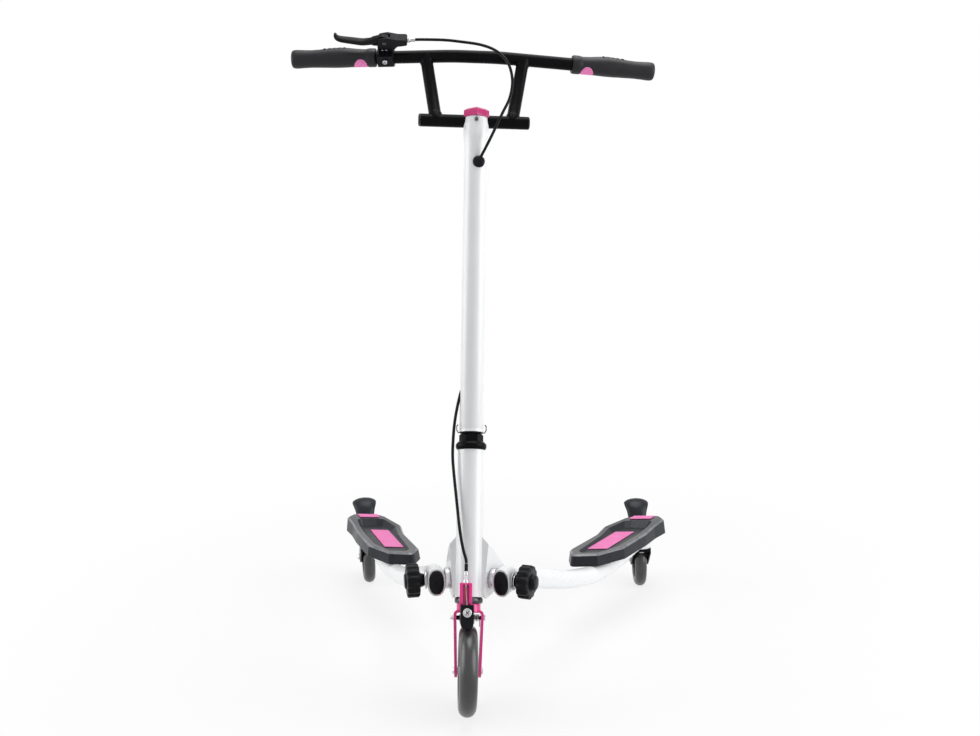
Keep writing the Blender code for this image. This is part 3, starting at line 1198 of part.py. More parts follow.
def build_caster(ride_frame, side, name, rest):
    """Trailing caster: bent fork on a kingpin, wheel, axle and the mudguard that turns with it."""
    matrix = Matrix.Translation((side * PIVOT_X, PIVOT_Y, 0)) @ Matrix.Rotation(rest, 4, "Z")
    caster = empty(name + "_pivot", matrix, ride_frame)
    top = HOUSING_MIDDLE - HOUSING_HALF - TOUCH
    low = top - CROWN_THICKNESS
    arm_out = CASTER_ARM_INNER + CASTER_ARM_SHEET
    crown = fillet(((-arm_out, -0.0130), (-0.009, -0.0190), (0.009, -0.0190), (arm_out, -0.0130),
                    (arm_out, 0.0090), (-arm_out, 0.0090)), 0.004, 1)
    fork = add_mesh(name + "_fork", prism(crown, "Z", low, top), "black_paint", caster)
    arm = fillet(((-0.0120, top), (-0.0120, low - 0.006), (CASTER_TRAIL - 0.011, REAR_RADIUS - 0.009),
                  (CASTER_TRAIL + 0.007, REAR_RADIUS - 0.010), (CASTER_TRAIL + 0.011, REAR_RADIUS),
                  (CASTER_TRAIL + 0.004, REAR_RADIUS + 0.011), (0.0220, low + 0.001), (0.0090, top)), 0.006, 1)
    for face in (-1, 1):
        edge = sorted((face * CASTER_ARM_INNER, face * arm_out))
        join(fork, prism(arm, "X", edge[0], edge[1]))
    cut(fork, disc(KINGPIN_RADIUS + TOUCH, 0.06, 0.12, 16))
    axle_spot = Vector((0, CASTER_TRAIL, REAR_RADIUS))
    cut(fork, moved(along_x(disc(AXLE_RADIUS + TOUCH, -0.03, 0.03, 14)), axle_spot))
    build_kingpin(caster, name, low)
    build_rear_axle(caster, name, axle_spot, arm_out)
    build_mudguard(caster, name, arm_out)
    build_rear_wheel(caster, name, axle_spot)


def build_kingpin(caster, name, crown_low):
    """Bolt up through crown and housing, with its nut sunk in the housing's top."""
    head = crown_low - TOUCH
    nut_low = HOUSING_MIDDLE + HOUSING_HALF - NUT_WELL + TOUCH
    nut_top = HOUSING_MIDDLE + HOUSING_HALF - 0.0006
    bolt = turned(((0, head - 0.0045), (0.0085, head - 0.0045), (0.0085, head), (KINGPIN_RADIUS, head),
                   (KINGPIN_RADIUS, nut_top + 0.0005), (0, nut_top + 0.0005)), 12, closed=False)
    pin = add_mesh(name + "_kingpin", bolt, "steel", caster)
    join(pin, disc(0.0100, nut_low, nut_top, 6))


def build_rear_axle(caster, name, spot, arm_out):
    face = arm_out + TOUCH
    add_bolt(name + "_axle", caster, spot, AXLE_RADIUS, (0.0062, 0.0045), (-face, face), (0.0065, 0.0052))


def build_rear_wheel(caster, name, spot):
    wheel = name.replace("caster", "rear")
    hub = empty(wheel + "_wheel_axis", Matrix.Translation(spot), caster)
    tyre = along_x(turned(tyre_profile(REAR_RADIUS, REAR_TYRE_WIDTH, REAR_RIM_RADIUS), WHEEL_SIDES))
    add_mesh(wheel + "_tyre", tyre, "tyre_rubber", hub)
    half_rim = 0.0085
    bore = AXLE_RADIUS + TOUCH
    outline = [(bore, REAR_HUB_HALF), (REAR_HUB_RADIUS, REAR_HUB_HALF), (REAR_HUB_RADIUS + 0.0015, 0.0035),
               (REAR_RIM_RADIUS - 0.005, 0.0035), (REAR_RIM_RADIUS - 0.0035, half_rim),
               (REAR_RIM_RADIUS, half_rim)]
    profile = outline + [(r, -z) for r, z in reversed(outline)]
    add_mesh(wheel + "_wheel_core", along_x(turned(profile, WHEEL_SIDES)), "black_plastic", hub)


def build_mudguard(caster, name, arm_out):
    """Shell over the wheel, bolted outside the fork arms, with the raised panel behind the footplate."""
    inner = REAR_RADIUS + 0.0040
    outer = inner + 0.0025
    half = REAR_TYRE_WIDTH / 2 + 0.0015
    section = ((-half - 0.0010, outer - 0.006), (-half + 0.0025, outer), (half - 0.0025, outer),
               (half + 0.0010, outer - 0.006), (half - 0.0012, outer - 0.006), (half - 0.0040, inner),
               (-half + 0.0040, inner), (-half + 0.0012, outer - 0.006))
    shell = swept_about_x(section, radians(118), radians(-8), 9)
    shell = moved(shell, (0, CASTER_TRAIL, REAR_RADIUS))
    guard = add_mesh(name.replace("caster", "mudguard"), shell, "black_plastic", caster)
    lug_face = CASTER_ARM_INNER - TOUCH
    lug = ((0.0290, 0.1050), (0.0290, 0.0790), (0.0360, 0.0700), (0.0440, 0.0700), (0.0440, 0.1105), (0.0380, 0.1095))
    for face in (-1, 1):
        edge = sorted((face * lug_face, face * (lug_face - MUDGUARD_LUG)))
        join(guard, prism(lug, "X", edge[0], edge[1]))
    stations = ((0.0840, 0.1060, 0.0150, 0.0030), (0.0850, 0.1180, 0.0175, 0.0030), (0.0880, 0.1340, 0.0185, 0.0032),
                (0.0950, 0.1475, 0.0210, 0.0032), (0.1060, 0.1575, 0.0245, 0.0034), (0.1180, 0.1620, 0.0250, 0.0034),
                (0.1280, 0.1605, 0.0210, 0.0028), (0.1330, 0.1575, 0.0130, 0.0018))
    rings = []
    for i, (y, z, wide, thick) in enumerate(stations):
        here = Vector((0, y, z))
        before = stations[max(i - 1, 0)]
        after = stations[min(i + 1, len(stations) - 1)]
        way = Vector((0, after[0] - before[0], after[1] - before[1])).normalized()
        normal = Vector((0, -way.z, way.y))
        points = []
        for k in range(10):
            a = 2 * pi * k / 10
            flat = abs(cos(a)) ** 0.6 * (1 if cos(a) > 0 else -1)
            bow = 0.0050 * flat * flat * (wide / 0.025)
            points.append(here + Vector((wide * flat, 0, 0)) + normal * (thick * sin(a) - bow))
        rings.append(points)
    join(guard, loft(rings))
    return guard


def main():
    clear_scene()
    head = empty("head_frame", head_matrix())
    steer = empty("steering_frame", head_matrix() @ Matrix.Rotation(STEER_REST, 4, "Z"))
    ride_frame = empty("ride_frame", Matrix.Translation((0, FRONT_AXLE_Y, 0)))
    bar_in_steer = Matrix.Translation((BAR_LATERAL, 0, CROSSBAR_HEIGHT)) @ Matrix.Rotation(-BAR_TILT, 4, "X")
    bar = empty("handlebar_frame", bar_in_steer, steer)
    build_front_wheel(steer)
    build_front_axle(steer)
    build_fork(steer)
    build_brake_bracket(steer)
    build_lower_adjuster(steer)
    wire = build_inner_wire(steer)
    build_brake_arm(steer, wire)
    build_brake_pivot(steer)
    build_brake_spring(steer)
    build_head_tube(head)
    base = build_headset(head, steer)
    route = cable_route(bar_in_steer)
    build_stem(steer, base, route)
    build_handlebar(bar)
    build_grip(bar, -1, "left_grip")
    build_grip(bar, 1, "right_grip")
    build_lever(bar)
    build_cable(steer, route)
    for side, word, rest in ((-1, "left", CASTER_REST_LEFT), (1, "right", CASTER_REST_RIGHT)):
        build_leg(ride_frame, side, word + "_leg")
        build_hinge_stud(side, word + "_hinge_stud")
        build_knob(side, word + "_clamp_knob")
        build_caster(ride_frame, side, word + "_caster", rest)


main()
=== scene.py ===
"""Finished look of the three-wheeled carving scooter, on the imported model's frame.

Metres, +Z up, -Y is the way the scooter rides. Left and right are the viewer's. A turned shape's points
are (radius, height), and heights on the steering axis are measured from the front axle.
"""
import json
from math import acos, cos, pi, radians, sin, tan

import bmesh
import bpy
from mathutils import Matrix, Vector


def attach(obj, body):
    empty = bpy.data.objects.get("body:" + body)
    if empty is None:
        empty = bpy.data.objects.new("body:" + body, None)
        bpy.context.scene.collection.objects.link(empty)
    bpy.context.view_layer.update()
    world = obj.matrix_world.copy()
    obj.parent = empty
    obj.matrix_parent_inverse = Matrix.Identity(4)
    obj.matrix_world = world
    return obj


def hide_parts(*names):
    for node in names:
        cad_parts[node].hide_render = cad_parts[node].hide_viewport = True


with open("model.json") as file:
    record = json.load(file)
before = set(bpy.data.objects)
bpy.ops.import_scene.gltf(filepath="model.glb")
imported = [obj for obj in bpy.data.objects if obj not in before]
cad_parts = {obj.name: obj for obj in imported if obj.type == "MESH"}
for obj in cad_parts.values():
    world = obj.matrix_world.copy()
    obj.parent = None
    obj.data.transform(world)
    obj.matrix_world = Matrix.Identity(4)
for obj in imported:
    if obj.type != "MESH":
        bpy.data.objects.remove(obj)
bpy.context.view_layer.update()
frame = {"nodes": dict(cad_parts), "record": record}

# Where the parts sit, as in the solid model
TOUCH = 0.0003
FRONT_AXLE_Y = -0.306
FRONT_RADIUS = 0.0725
HEAD_ANGLE = radians(20)
STEER_REST = radians(9.8)
HEAD_TUBE_LOW = 0.116
HEAD_TUBE_TOP = 0.354
HEAD_TUBE_BORE = 0.02
HEAD_TUBE_RADIUS = 0.02225
CUP_BORE = 0.0189
STEM_BORE = 0.0176
STEM_RADIUS = 0.01985
SLEEVE_RADIUS = 0.022
STEERER_BORE = 0.0118
FORK_NECK_LOW = 0.0925
FORK_NECK_TOP = 0.105
AXLE_RADIUS = 0.004
BAR_LATERAL = -0.0037
CROSSBAR_HEIGHT = 0.925
BAR_RISE = 0.127
BAR_TILT = radians(6.6)
BAR_BEND_HALF = 0.04
BAR_SWEEP = radians(6)
BAR_HALF = 0.3226
BAR_RADIUS = 0.0111
CROSSBAR_HALF = 0.0934
ARM_END = (BAR_HALF - BAR_BEND_HALF) / cos(BAR_SWEEP)
GRIP_LENGTH = 0.15
LEVER_X = 0.156
LEVER_RISE = radians(13.4)
HINGE = Vector((0.0576, 0.0624, 0.203))
HINGE_SPLAY = radians(15.5)
HINGE_OUT = HINGE.x / cos(HINGE_SPLAY)
LEG_HALF_WIDTH = 0.015
PIVOT = Vector((0.28, 0.556, 0.0))
HOUSING_MIDDLE = 0.1165
CASTER_TRAIL = 0.055
CASTER_REST = {-1: radians(16), 1: radians(5)}
REAR_RADIUS = 0.055

UP = Vector((0, 0, 1))
LEG_AHEAD = Vector((-sin(HINGE_SPLAY), -cos(HINGE_SPLAY), 0))
LEG_ASIDE = Vector((cos(HINGE_SPLAY), -sin(HINGE_SPLAY), 0))
LEG_FACE = HINGE + LEG_AHEAD * 0.019
HEAD = Matrix.Translation((0, FRONT_AXLE_Y, FRONT_RADIUS)) @ Matrix.Rotation(-HEAD_ANGLE, 4, "X")
STEER = HEAD @ Matrix.Rotation(STEER_REST, 4, "Z")
BAR = STEER @ Matrix.Translation((BAR_LATERAL, 0, CROSSBAR_HEIGHT)) @ Matrix.Rotation(-BAR_TILT, 4, "X")
RIDE = Matrix.Translation((0, FRONT_AXLE_Y, 0))
SIDES = {-1: "left", 1: "right"}
CENTRE_BODIES = ("frame", "steering")

# The camera of the photograph, measured from the front axle on the ground
IMAGE_WIDTH = 980
FOCAL_PIXELS = 1210.5
SENSOR_WIDTH = 36.0
CAMERA_SPOT = Vector((0.2678, -1.8064, 0.8761))
CAMERA_YAW = 0.12
CAMERA_PITCH = 0.1703
CAMERA_ROLL = 0.0286

# The studio: the surround's light on the object, and the floor's glow near it and how far it fades
SURROUND_LIGHT = 0.26
NEAR_WHITE = 0.78
FADE_REACH = (0.45, 1.3)
FLOOR_RADIUS = 14


# Materials

def map_range(tree, source, span, result):
    """A node that maps a value from the span to the result's range."""
    node = tree.nodes.new("ShaderNodeMapRange")
    for socket, value in zip(("From Min", "From Max", "To Min", "To Max"), (*span, *result)):
        node.inputs[socket].default_value = value
    tree.links.new(source, node.inputs["Value"])
    return node


def shader_of(name, colour, roughness, specular, metallic=0.0, coat=0.0):
    made = bpy.data.materials.new(name)
    made.use_nodes = True
    shader = made.node_tree.nodes["Principled BSDF"]
    shader.inputs["Base Color"].default_value = (*colour, 1.0)
    shader.inputs["Roughness"].default_value = roughness
    shader.inputs["Metallic"].default_value = metallic
    shader.inputs["Coat Weight"].default_value = coat
    shader.inputs["Coat Roughness"].default_value = 0.08
    shader.inputs["Specular IOR Level"].default_value = specular
    return made, shader


def noise_of(tree, scale, detail):
    place_of = tree.nodes.new("ShaderNodeTexCoord")
    noise = tree.nodes.new("ShaderNodeTexNoise")
    noise.inputs["Scale"].default_value = scale
    noise.inputs["Detail"].default_value = detail
    tree.links.new(place_of.outputs["Object"], noise.inputs["Vector"])
    return noise.outputs["Fac"]


def tint(tree, shader, source, dark, light):
    """Colours that drift between two shades with a pattern."""
    ramp = tree.nodes.new("ShaderNodeValToRGB")
    for stop, position, colour in zip(ramp.color_ramp.elements, (0.35, 0.65), (dark, light)):
        stop.position = position
        stop.color = (*colour, 1.0)
    tree.links.new(source, ramp.inputs["Fac"])
    tree.links.new(ramp.outputs["Color"], shader.inputs["Base Color"])


def relief(tree, shader, source, depth):
    """A grain that stands out by the depth."""
    bump = tree.nodes.new("ShaderNodeBump")
    bump.inputs["Strength"].default_value = 1.0
    bump.inputs["Distance"].default_value = depth
    tree.links.new(source, bump.inputs["Height"])
    tree.links.new(bump.outputs["Normal"], shader.inputs["Normal"])


def finish(name, dark, light, roughness, patch_scale, grain_scale, grain_depth, metallic=0.0, coat=0.0,
           specular=0.5):
    """A surface whose colour and roughness drift a little and that has a fine grain."""
    middle = [(a + b) / 2 for a, b in zip(dark, light)]
    made, shader = shader_of(name, middle, roughness[0], specular, metallic, coat)
    tree = made.node_tree
    patches = noise_of(tree, patch_scale, 4.0)
    tint(tree, shader, patches, dark, light)
    drift = map_range(tree, patches, (0.3, 0.7), roughness)
    tree.links.new(drift.outputs["Result"], shader.inputs["Roughness"])
    relief(tree, shader, noise_of(tree, grain_scale, 2.0), grain_depth)
    return made


FINISHES = {
    "white_paint": finish("gloss_white_paint", (0.83, 0.845, 0.86), (0.87, 0.88, 0.89), (0.26, 0.36), 9, 240,
                          0.00001, coat=0.25),
    "pink_paint": finish("gloss_pink_paint", (0.86, 0.012, 0.27), (0.93, 0.017, 0.31), (0.22, 0.32), 14, 260,
                         0.00001, coat=0.35),
    "deep_pink": finish("deep_pink_paint", (0.48, 0.01, 0.14), (0.56, 0.015, 0.17), (0.22, 0.32), 14, 260,
                        0.00001, coat=0.25),
    "black_paint": finish("gloss_black_paint", (0.003, 0.003, 0.0036), (0.005, 0.005, 0.0062), (0.22, 0.32),
                          18, 700, 0.00001, specular=0.05),
    "black_plastic": finish("moulded_black", (0.0036, 0.0038, 0.005), (0.0062, 0.0065, 0.0084), (0.3, 0.42),
                            26, 1100, 0.00002, specular=0.12),
    "slate_plastic": finish("moulded_slate", (0.01, 0.012, 0.016), (0.017, 0.02, 0.026), (0.26, 0.38), 20,
                            1600, 0.00004, specular=0.2),
    # Painted sheen: the flat rim's slate is lighter than the footboard's, standing in for its reflection of
    # the bright surround.
    "slate_rim_painted_sheen": finish("smooth_slate_painted_sheen", (0.026, 0.027, 0.032), (0.05, 0.052, 0.06), (0.22, 0.34), 14, 1600,
                        0.00003, specular=0.55),
    # Painted highlight: the outer edge's pale slate stands in for glints of the lamps on the chamfer.
    "slate_edge_painted_highlight": finish("painted_highlight_slate", (0.11, 0.112, 0.125), (0.22, 0.222, 0.24), (0.22, 0.34), 40, 1600,
                         0.00003, specular=0.7),
    "grip_rubber": finish("grip_rubber", (0.0075, 0.0075, 0.0095), (0.013, 0.013, 0.0155), (0.42, 0.54), 30,
                          1500, 0.00004, specular=0.28),
    "pink_rubber": finish("pink_foam", (0.8, 0.19, 0.46), (0.86, 0.24, 0.53), (0.62, 0.78), 60, 900, 0.00008),
    "tyre_rubber": finish("tyre_rubber", (0.024, 0.024, 0.026), (0.04, 0.04, 0.043), (0.26, 0.38), 30, 500,
                          0.00002, specular=0.6),
    "steel": finish("plated_steel", (0.42, 0.42, 0.44), (0.6, 0.6, 0.62), (0.22, 0.36), 60, 900, 0.00001,
                    metallic=1.0),
    "dark_steel": finish("blackened_steel", (0.05, 0.05, 0.055), (0.09, 0.09, 0.095), (0.26, 0.38), 60, 900,
                         0.00001, metallic=1.0),
}


# Placing

SHARP_ANGLE = radians(35)
BEVEL_ANGLE = radians(30)


def place(name, bm, matrix, body, material, *replaced, bevel=0.0):
    """Makes a finished piece from a local shape and puts its place in its mesh."""
    bmesh.ops.transform(bm, matrix=matrix, verts=bm.verts)
    bmesh.ops.recalc_face_normals(bm, faces=bm.faces)
    mesh = bpy.data.meshes.new(name)
    bm.to_mesh(mesh)
    bm.free()
    piece = bpy.data.objects.new(name, mesh)
    bpy.context.scene.collection.objects.link(piece)
    mesh.shade_smooth()
    mesh.set_sharp_from_angle(angle=SHARP_ANGLE)
    if bevel:
        edge = piece.modifiers.new("soft_edges", "BEVEL")
        edge.width = bevel
        edge.segments = 2
        edge.limit_method = "ANGLE"
        edge.angle_limit = BEVEL_ANGLE
        edge.harden_normals = True
    mesh.materials.append(FINISHES[material])
    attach(piece, body)
    if replaced:
        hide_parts(*replaced)
    return piece


def on_steer(name, bm, material, *replaced, bevel=0.0):
    """A piece on the steering axis that turns with the handlebar."""
    return place(name, bm, STEER, "steering", material, *replaced, bevel=bevel)


def on_side(side, name, bm, matrix, body, material, *replaced, bevel=0.0):
    """A piece of one side: its name, its body's and those that it replaces take the side's word."""
    word = SIDES[side] + "_"
    rides = body if body in CENTRE_BODIES else word + body
    return place(word + name, bm, matrix, rides, material, *[word + old for old in replaced], bevel=bevel)


# Outlines

def fillet(points, radius, steps=5):
    """The outline with each corner rounded."""
    result = []
    count = len(points)
    for i in range(count):
        corner = Vector(points[i])
        before = Vector(points[i - 1]) - corner
        after = Vector(points[(i + 1) % count]) - corner
        half = acos(max(-1.0, min(1.0, before.normalized().dot(after.normalized())))) / 2
        reach = min(radius / tan(half), 0.45 * before.length, 0.45 * after.length)
        start = corner + before.normalized() * reach
        end = corner + after.normalized() * reach
        for k in range(steps + 1):
            t = k / steps
            result.append(start * (1 - t) ** 2 + corner * 2 * t * (1 - t) + end * t ** 2)
    return result


def grow(points, distance):
    """The outline moved outward by the distance, for points that run anticlockwise."""
    result = []
    count = len(points)
    for i in range(count):
        corner = Vector(points[i])
        a = (corner - Vector(points[i - 1])).normalized()
        b = (Vector(points[(i + 1) % count]) - corner).normalized()
        normal_a = Vector((a.y, -a.x))
        normal_b = Vector((b.y, -b.x))
        result.append(corner + (normal_a + normal_b) * distance / (1 + normal_a.dot(normal_b)))
    return result


def level(points, height):
    """Outline points at one height."""
    return [(p[0], p[1], height) for p in points]


def both_ways(half):
    """The outline of one half with its mirror image below, for a shape that is the same on both faces."""
    return [*half, *[(r, -z) for r, z in reversed(half)]]


def smooth_path(points, per_span):
    """Points read from a smooth curve through the given ones."""
    route = [Vector(p) for p in points]
    route = [route[0] * 2 - route[1]] + route + [route[-1] * 2 - route[-2]]
    result = []
    for i in range(1, len(route) - 2):
        a, b, c, d = route[i - 1:i + 3]
        for k in range(per_span):
            t = k / per_span
            result.append(0.5 * (b * 2 + (c - a) * t + (a * 2 - b * 5 + c * 4 - d) * t ** 2
                                 + (b * 3 - a - c * 3 + d) * t ** 3))
    result.append(route[-2])
    return result


def neighbours(path, i):
    """The points before and after one of a path, or the end itself."""
    return path[max(i - 1, 0)], path[min(i + 1, len(path) - 1)]


def squared(value, power):
    """A sine or cosine bent toward a square's, with its sign kept."""
    return abs(value) ** power * (1 if value > 0 else -1)


def oval(centre, across, upward, wide, tall, sides, power=0.85):
    """A ring of points on a rounded oval."""
    points = []
    for k in range(sides):
        a = 2 * pi * k / sides
        flat, high = squared(cos(a), power), squared(sin(a), power)
        points.append(centre + across * wide * flat + upward * tall * high)
    return points


# Shapes

def turned(profile, segments=48, closed=False):
    """A shape spun about Z from (radius, height) points."""
    bm = bmesh.new()
    verts = [bm.verts.new((r, 0, z)) for r, z in profile]
    edges = [bm.edges.new(pair) for pair in zip(verts, verts[1:])]
    if closed:
        edges.append(bm.edges.new((verts[-1], verts[0])))
    bmesh.ops.spin(bm, geom=verts + edges, cent=(0, 0, 0), axis=(0, 0, 1), angle=2 * pi, steps=segments,
                   use_merge=True)
    bmesh.ops.remove_doubles(bm, verts=bm.verts, dist=1e-6)
    return bm


def rotated(bm, angle, axis):
    bmesh.ops.rotate(bm, verts=bm.verts, cent=(0, 0, 0), matrix=Matrix.Rotation(angle, 3, axis))
    return bm


def along_x(bm):
    return rotated(bm, radians(90), "Y")


def along_front(bm):
    return rotated(bm, radians(90), "X")


def moved(bm, offset):
    bmesh.ops.translate(bm, verts=bm.verts, vec=Vector(offset))
    return bm


def mirrored(bm, side):
    """A shape made for the right, turned over for the left."""
    if side < 0:
        bmesh.ops.scale(bm, vec=(-1, 1, 1), verts=bm.verts)
    return bm


def merge(*parts):
    whole = bmesh.new()
    for part in parts:
        mesh = bpy.data.meshes.new("part")
        part.to_mesh(mesh)
        part.free()
        whole.from_mesh(mesh)
        bpy.data.meshes.remove(mesh)
    return whole


def prism(outline, axis, low, high):
    """An outline pushed along an axis: (y, z) points along X, (x, z) along Y or (x, y) along Z."""
    spots = {
        "X": lambda p, d: (d, p[0], p[1]),
        "Y": lambda p, d: (p[0], d, p[1]),
        "Z": lambda p, d: (p[0], p[1], d),
    }[axis]
    bm = bmesh.new()
    face = bm.faces.new([bm.verts.new(spots(p, low)) for p in outline])
    made = bmesh.ops.extrude_face_region(bm, geom=[face])
    shift = Vector(spots((0, 0), high)) - Vector(spots((0, 0), low))
    bmesh.ops.translate(bm, verts=[v for v in made["geom"] if isinstance(v, bmesh.types.BMVert)], vec=shift)
    return bm


def box(low, high):
    bm = bmesh.new()
    size = Vector(high) - Vector(low)
    middle = (Vector(low) + Vector(high)) / 2
    bmesh.ops.create_cube(bm, size=1.0, matrix=Matrix.Translation(middle) @ Matrix.Diagonal((*size, 1.0)))
    return bm


def disc(radius, low, high, segments):
    return turned(((0, low), (radius, low), (radius, high), (0, high)), segments)


def skin(rings):
    """A closed skin through rings of points, bridged one to the next and capped at both ends."""
    bm = bmesh.new()
    loops = []
    for points in rings:
        verts = [bm.verts.new(p) for p in points]
        loops.append([bm.edges.new((verts[i - 1], verts[i])) for i in range(len(verts))])
    for first, second in zip(loops, loops[1:]):
        bmesh.ops.bridge_loops(bm, edges=first + second)
    for loop in (loops[0], loops[-1]):
        bmesh.ops.contextual_create(bm, geom=loop)
    return bm


def pipe(points, radius, sides):
    """A round bar along points; radius is one value or one for each point."""
    rings = []
    side = None
    for i, point in enumerate(points):
        before, after = neighbours(points, i)
        way = (after - before).normalized()
        side = side or way.orthogonal()
        side = (side - way * side.dot(way)).normalized()
        size = radius[i] if isinstance(radius, list) else radius
        rings.append(oval(point, side, way.cross(side), size, size, sides, 1.0))
    return skin(rings)


def swept_about_x(section, start, end, steps):
    """A section of (x, radius) points swept about X; 90 degrees is the top, 180 the front."""
    rings = []
    for k in range(steps + 1):
        a = start + (end - start) * k / steps
        rings.append([(x, r * cos(a), r * sin(a)) for x, r in section])
    return skin(rings)


def axle_bolt(head, face):
    """A bolt along X with the same low head outside both faces."""
    ends = [turned(head, 36), turned([(r, -z) for r, z in head], 36), disc(AXLE_RADIUS, -face, face, 28)]
    return along_x(merge(*ends))


# Column

def make_stem():
    """White tube with a sleeve at the top, seams and the small bolt on the front."""
    foot, sleeve, top = 0.3831, 0.885, 0.94
    groove, neck = SLEEVE_RADIUS - 0.0003, 0.0211
    outline = ((STEM_BORE, foot), (0.0194, foot), (STEM_RADIUS, foot + 0.0005), (STEM_RADIUS, foot + 0.004),
               (0.01965, foot + 0.0044), (STEM_RADIUS, foot + 0.0048), (STEM_RADIUS, sleeve),
               (0.0205, sleeve + 0.003), (0.0219, sleeve + 0.011), (SLEEVE_RADIUS, sleeve + 0.015),
               (SLEEVE_RADIUS, 0.918), (groove, 0.9184), (SLEEVE_RADIUS, 0.9188), (SLEEVE_RADIUS, 0.9258),
               (groove, 0.9262), (SLEEVE_RADIUS, 0.9266), (SLEEVE_RADIUS, 0.9276), (neck, 0.9282),
               (neck, top - 0.0005), (0.0206, top), (STEM_BORE, top))
    on_steer("stem_tube", turned(outline, 64, True), "white_paint", "stem")
    screw = turned(((0, 0.003), (0.002, 0.003), (0.0034, 0.002), (0.0036, -0.001), (0, -0.001)), 20)
    on_steer("sleeve_screw", moved(along_front(screw), (0, -SLEEVE_RADIUS, 0.9215)), "dark_steel")


def make_stem_cap():
    """Hexagonal cap over the stem's neck, with its upper edge turned off."""
    corner, bore, low, top = 0.0253, 0.0245, 0.9284, 0.9455
    shell = turned(((0, top), (corner - 0.008, top), (corner - 0.0068, top - 0.0006),
                    (corner - 0.0006, top - 0.0052), (corner, top - 0.0062), (corner, low + 0.0006),
                    (corner - 0.0006, low), (bore, low), (bore, top - 0.0052), (0, top - 0.0052)), 6)
    cap = on_steer("top_cap", rotated(shell, radians(30), "Z"), "pink_paint", "stem_cap", bevel=0.0006)
    cap.data.materials[0] = FINISHES["deep_pink"]


def hinge_frame(side):
    """Z points outward along the hinge stud from the middle plane, Y up."""
    out = Vector((side * cos(HINGE_SPLAY), -sin(HINGE_SPLAY), 0))
    spot = Vector((0, FRONT_AXLE_Y + HINGE.y + HINGE.x * tan(HINGE_SPLAY), HINGE.z))
    return Matrix.Translation(spot) @ Matrix((UP.cross(out), UP, out)).transposed().to_4x4()


def make_head_tube():
    """Head tube with its bracket: front sheet, cheeks square to the hinges and rear sheet."""
    low, top, rim = HEAD_TUBE_LOW, HEAD_TUBE_TOP, 0.0004
    outline = ((HEAD_TUBE_BORE, low), (0.0219, low), (HEAD_TUBE_RADIUS, low + rim),
               (HEAD_TUBE_RADIUS, top - rim), (0.0219, top), (HEAD_TUBE_BORE, top))
    place("head_tube", turned(outline, 64, True), HEAD, "frame", "white_paint", "head_tube_frame")
    sheet, front = 0.0035, -0.0055
    wing = ((0.013, 0.216), (0.0215, 0.212), (0.0322, 0.2), (0.0296, 0.169), (0.025, 0.118), (0.013, 0.1165))
    cheek = ((-0.0338, -0.0185), (-0.024, -0.027), (0.016, -0.027), (0.064, -0.0165), (0.0715, -0.0077),
             (0.014, 0.0431), (-0.0062, 0.06))
    for side, word in SIDES.items():
        outline = fillet([(side * x, z) for x, z in wing], 0.004)
        gusset = prism(outline, "Y", front - sheet / 2, front + sheet / 2)
        place(word + "_gusset", gusset, HEAD, "frame", "white_paint", "head_tube_frame", bevel=0.0006)
        outline = fillet([(side * x, z) for x, z in cheek], 0.006)
        place(word + "_cheek", prism(outline, "Z", 0.0318, 0.0355), hinge_frame(side), "frame", "white_paint",
              "head_tube_frame", bevel=0.0006)
    web = prism(((-0.0345, 0.126), (0.0345, 0.126), (0.0345, 0.154), (-0.0345, 0.154)), "Y", 0.0335, 0.037)
    place("rear_sheet", web, HEAD, "frame", "white_paint", "head_tube_frame", bevel=0.0005)


def make_headset():
    """Rounded lower cup and the wide upper cup, each seated on its end of the head tube."""
    base, end = FORK_NECK_TOP, HEAD_TUBE_LOW - TOUCH
    low_cup = ((CUP_BORE, base + TOUCH), (0.02, base + TOUCH), (0.0216, base + 0.001),
               (0.0226, base + 0.0026), (0.023, base + 0.0046), (0.023, base + 0.0064),
               (0.0226, base + 0.0084), (0.0217, base + 0.01), (0.0204, end), (CUP_BORE, end))
    place("lower_cup", turned(low_cup, 56, True), HEAD, "frame", "dark_steel", "lower_headset_cup")
    base = HEAD_TUBE_TOP + TOUCH
    cup = ((CUP_BORE, base + 0.013), (0.0212, base + 0.013), (0.0226, base + 0.0118), (0.0252, base + 0.0088),
           (0.0255, base + 0.008), (0.0255, base + 0.0036), (0.0251, base + 0.0026), (0.0236, base),
           (CUP_BORE, base))
    place("upper_cup", turned(cup, 64, True), HEAD, "frame", "black_paint", "upper_headset_cup")


# Fork and front brake

FORK_DROP = 0.0105
BRAKE_X = -0.0036
BRAKE_HALF = 0.0106
BRAKE_LEFT = BRAKE_X - BRAKE_HALF
BRAKE_RIGHT = BRAKE_X + BRAKE_HALF
CHANNEL_LEFT = -0.01575
CHANNEL_RIGHT = 0.00375


def fork_outline():
    """One strip bent over the wheel: two blades that lean outward, with round shoulders."""
    top, foot, crown, shoulder, strip = 0.0243, 0.0212, 0.0955, 0.008, 0.0045
    outer = [(-foot, -FORK_DROP), (-top, crown - shoulder)]
    inner = []
    steps = 10
    for k in range(1, steps + 1):
        a = pi / 2 * k / steps
        outer.append((-top + shoulder * (1 - cos(a)), crown - shoulder * (1 - sin(a))))
    bend = shoulder - strip
    for k in range(steps, -1, -1):
        a = pi / 2 * k / steps
        inner.append((-top + strip + bend * (1 - cos(a)), crown - strip - bend * (1 - sin(a))))
    inner.append((-foot + strip, -FORK_DROP))
    outer += [(-x, z) for x, z in reversed(outer)]
    return outer + [(-x, z) for x, z in reversed(inner)] + inner


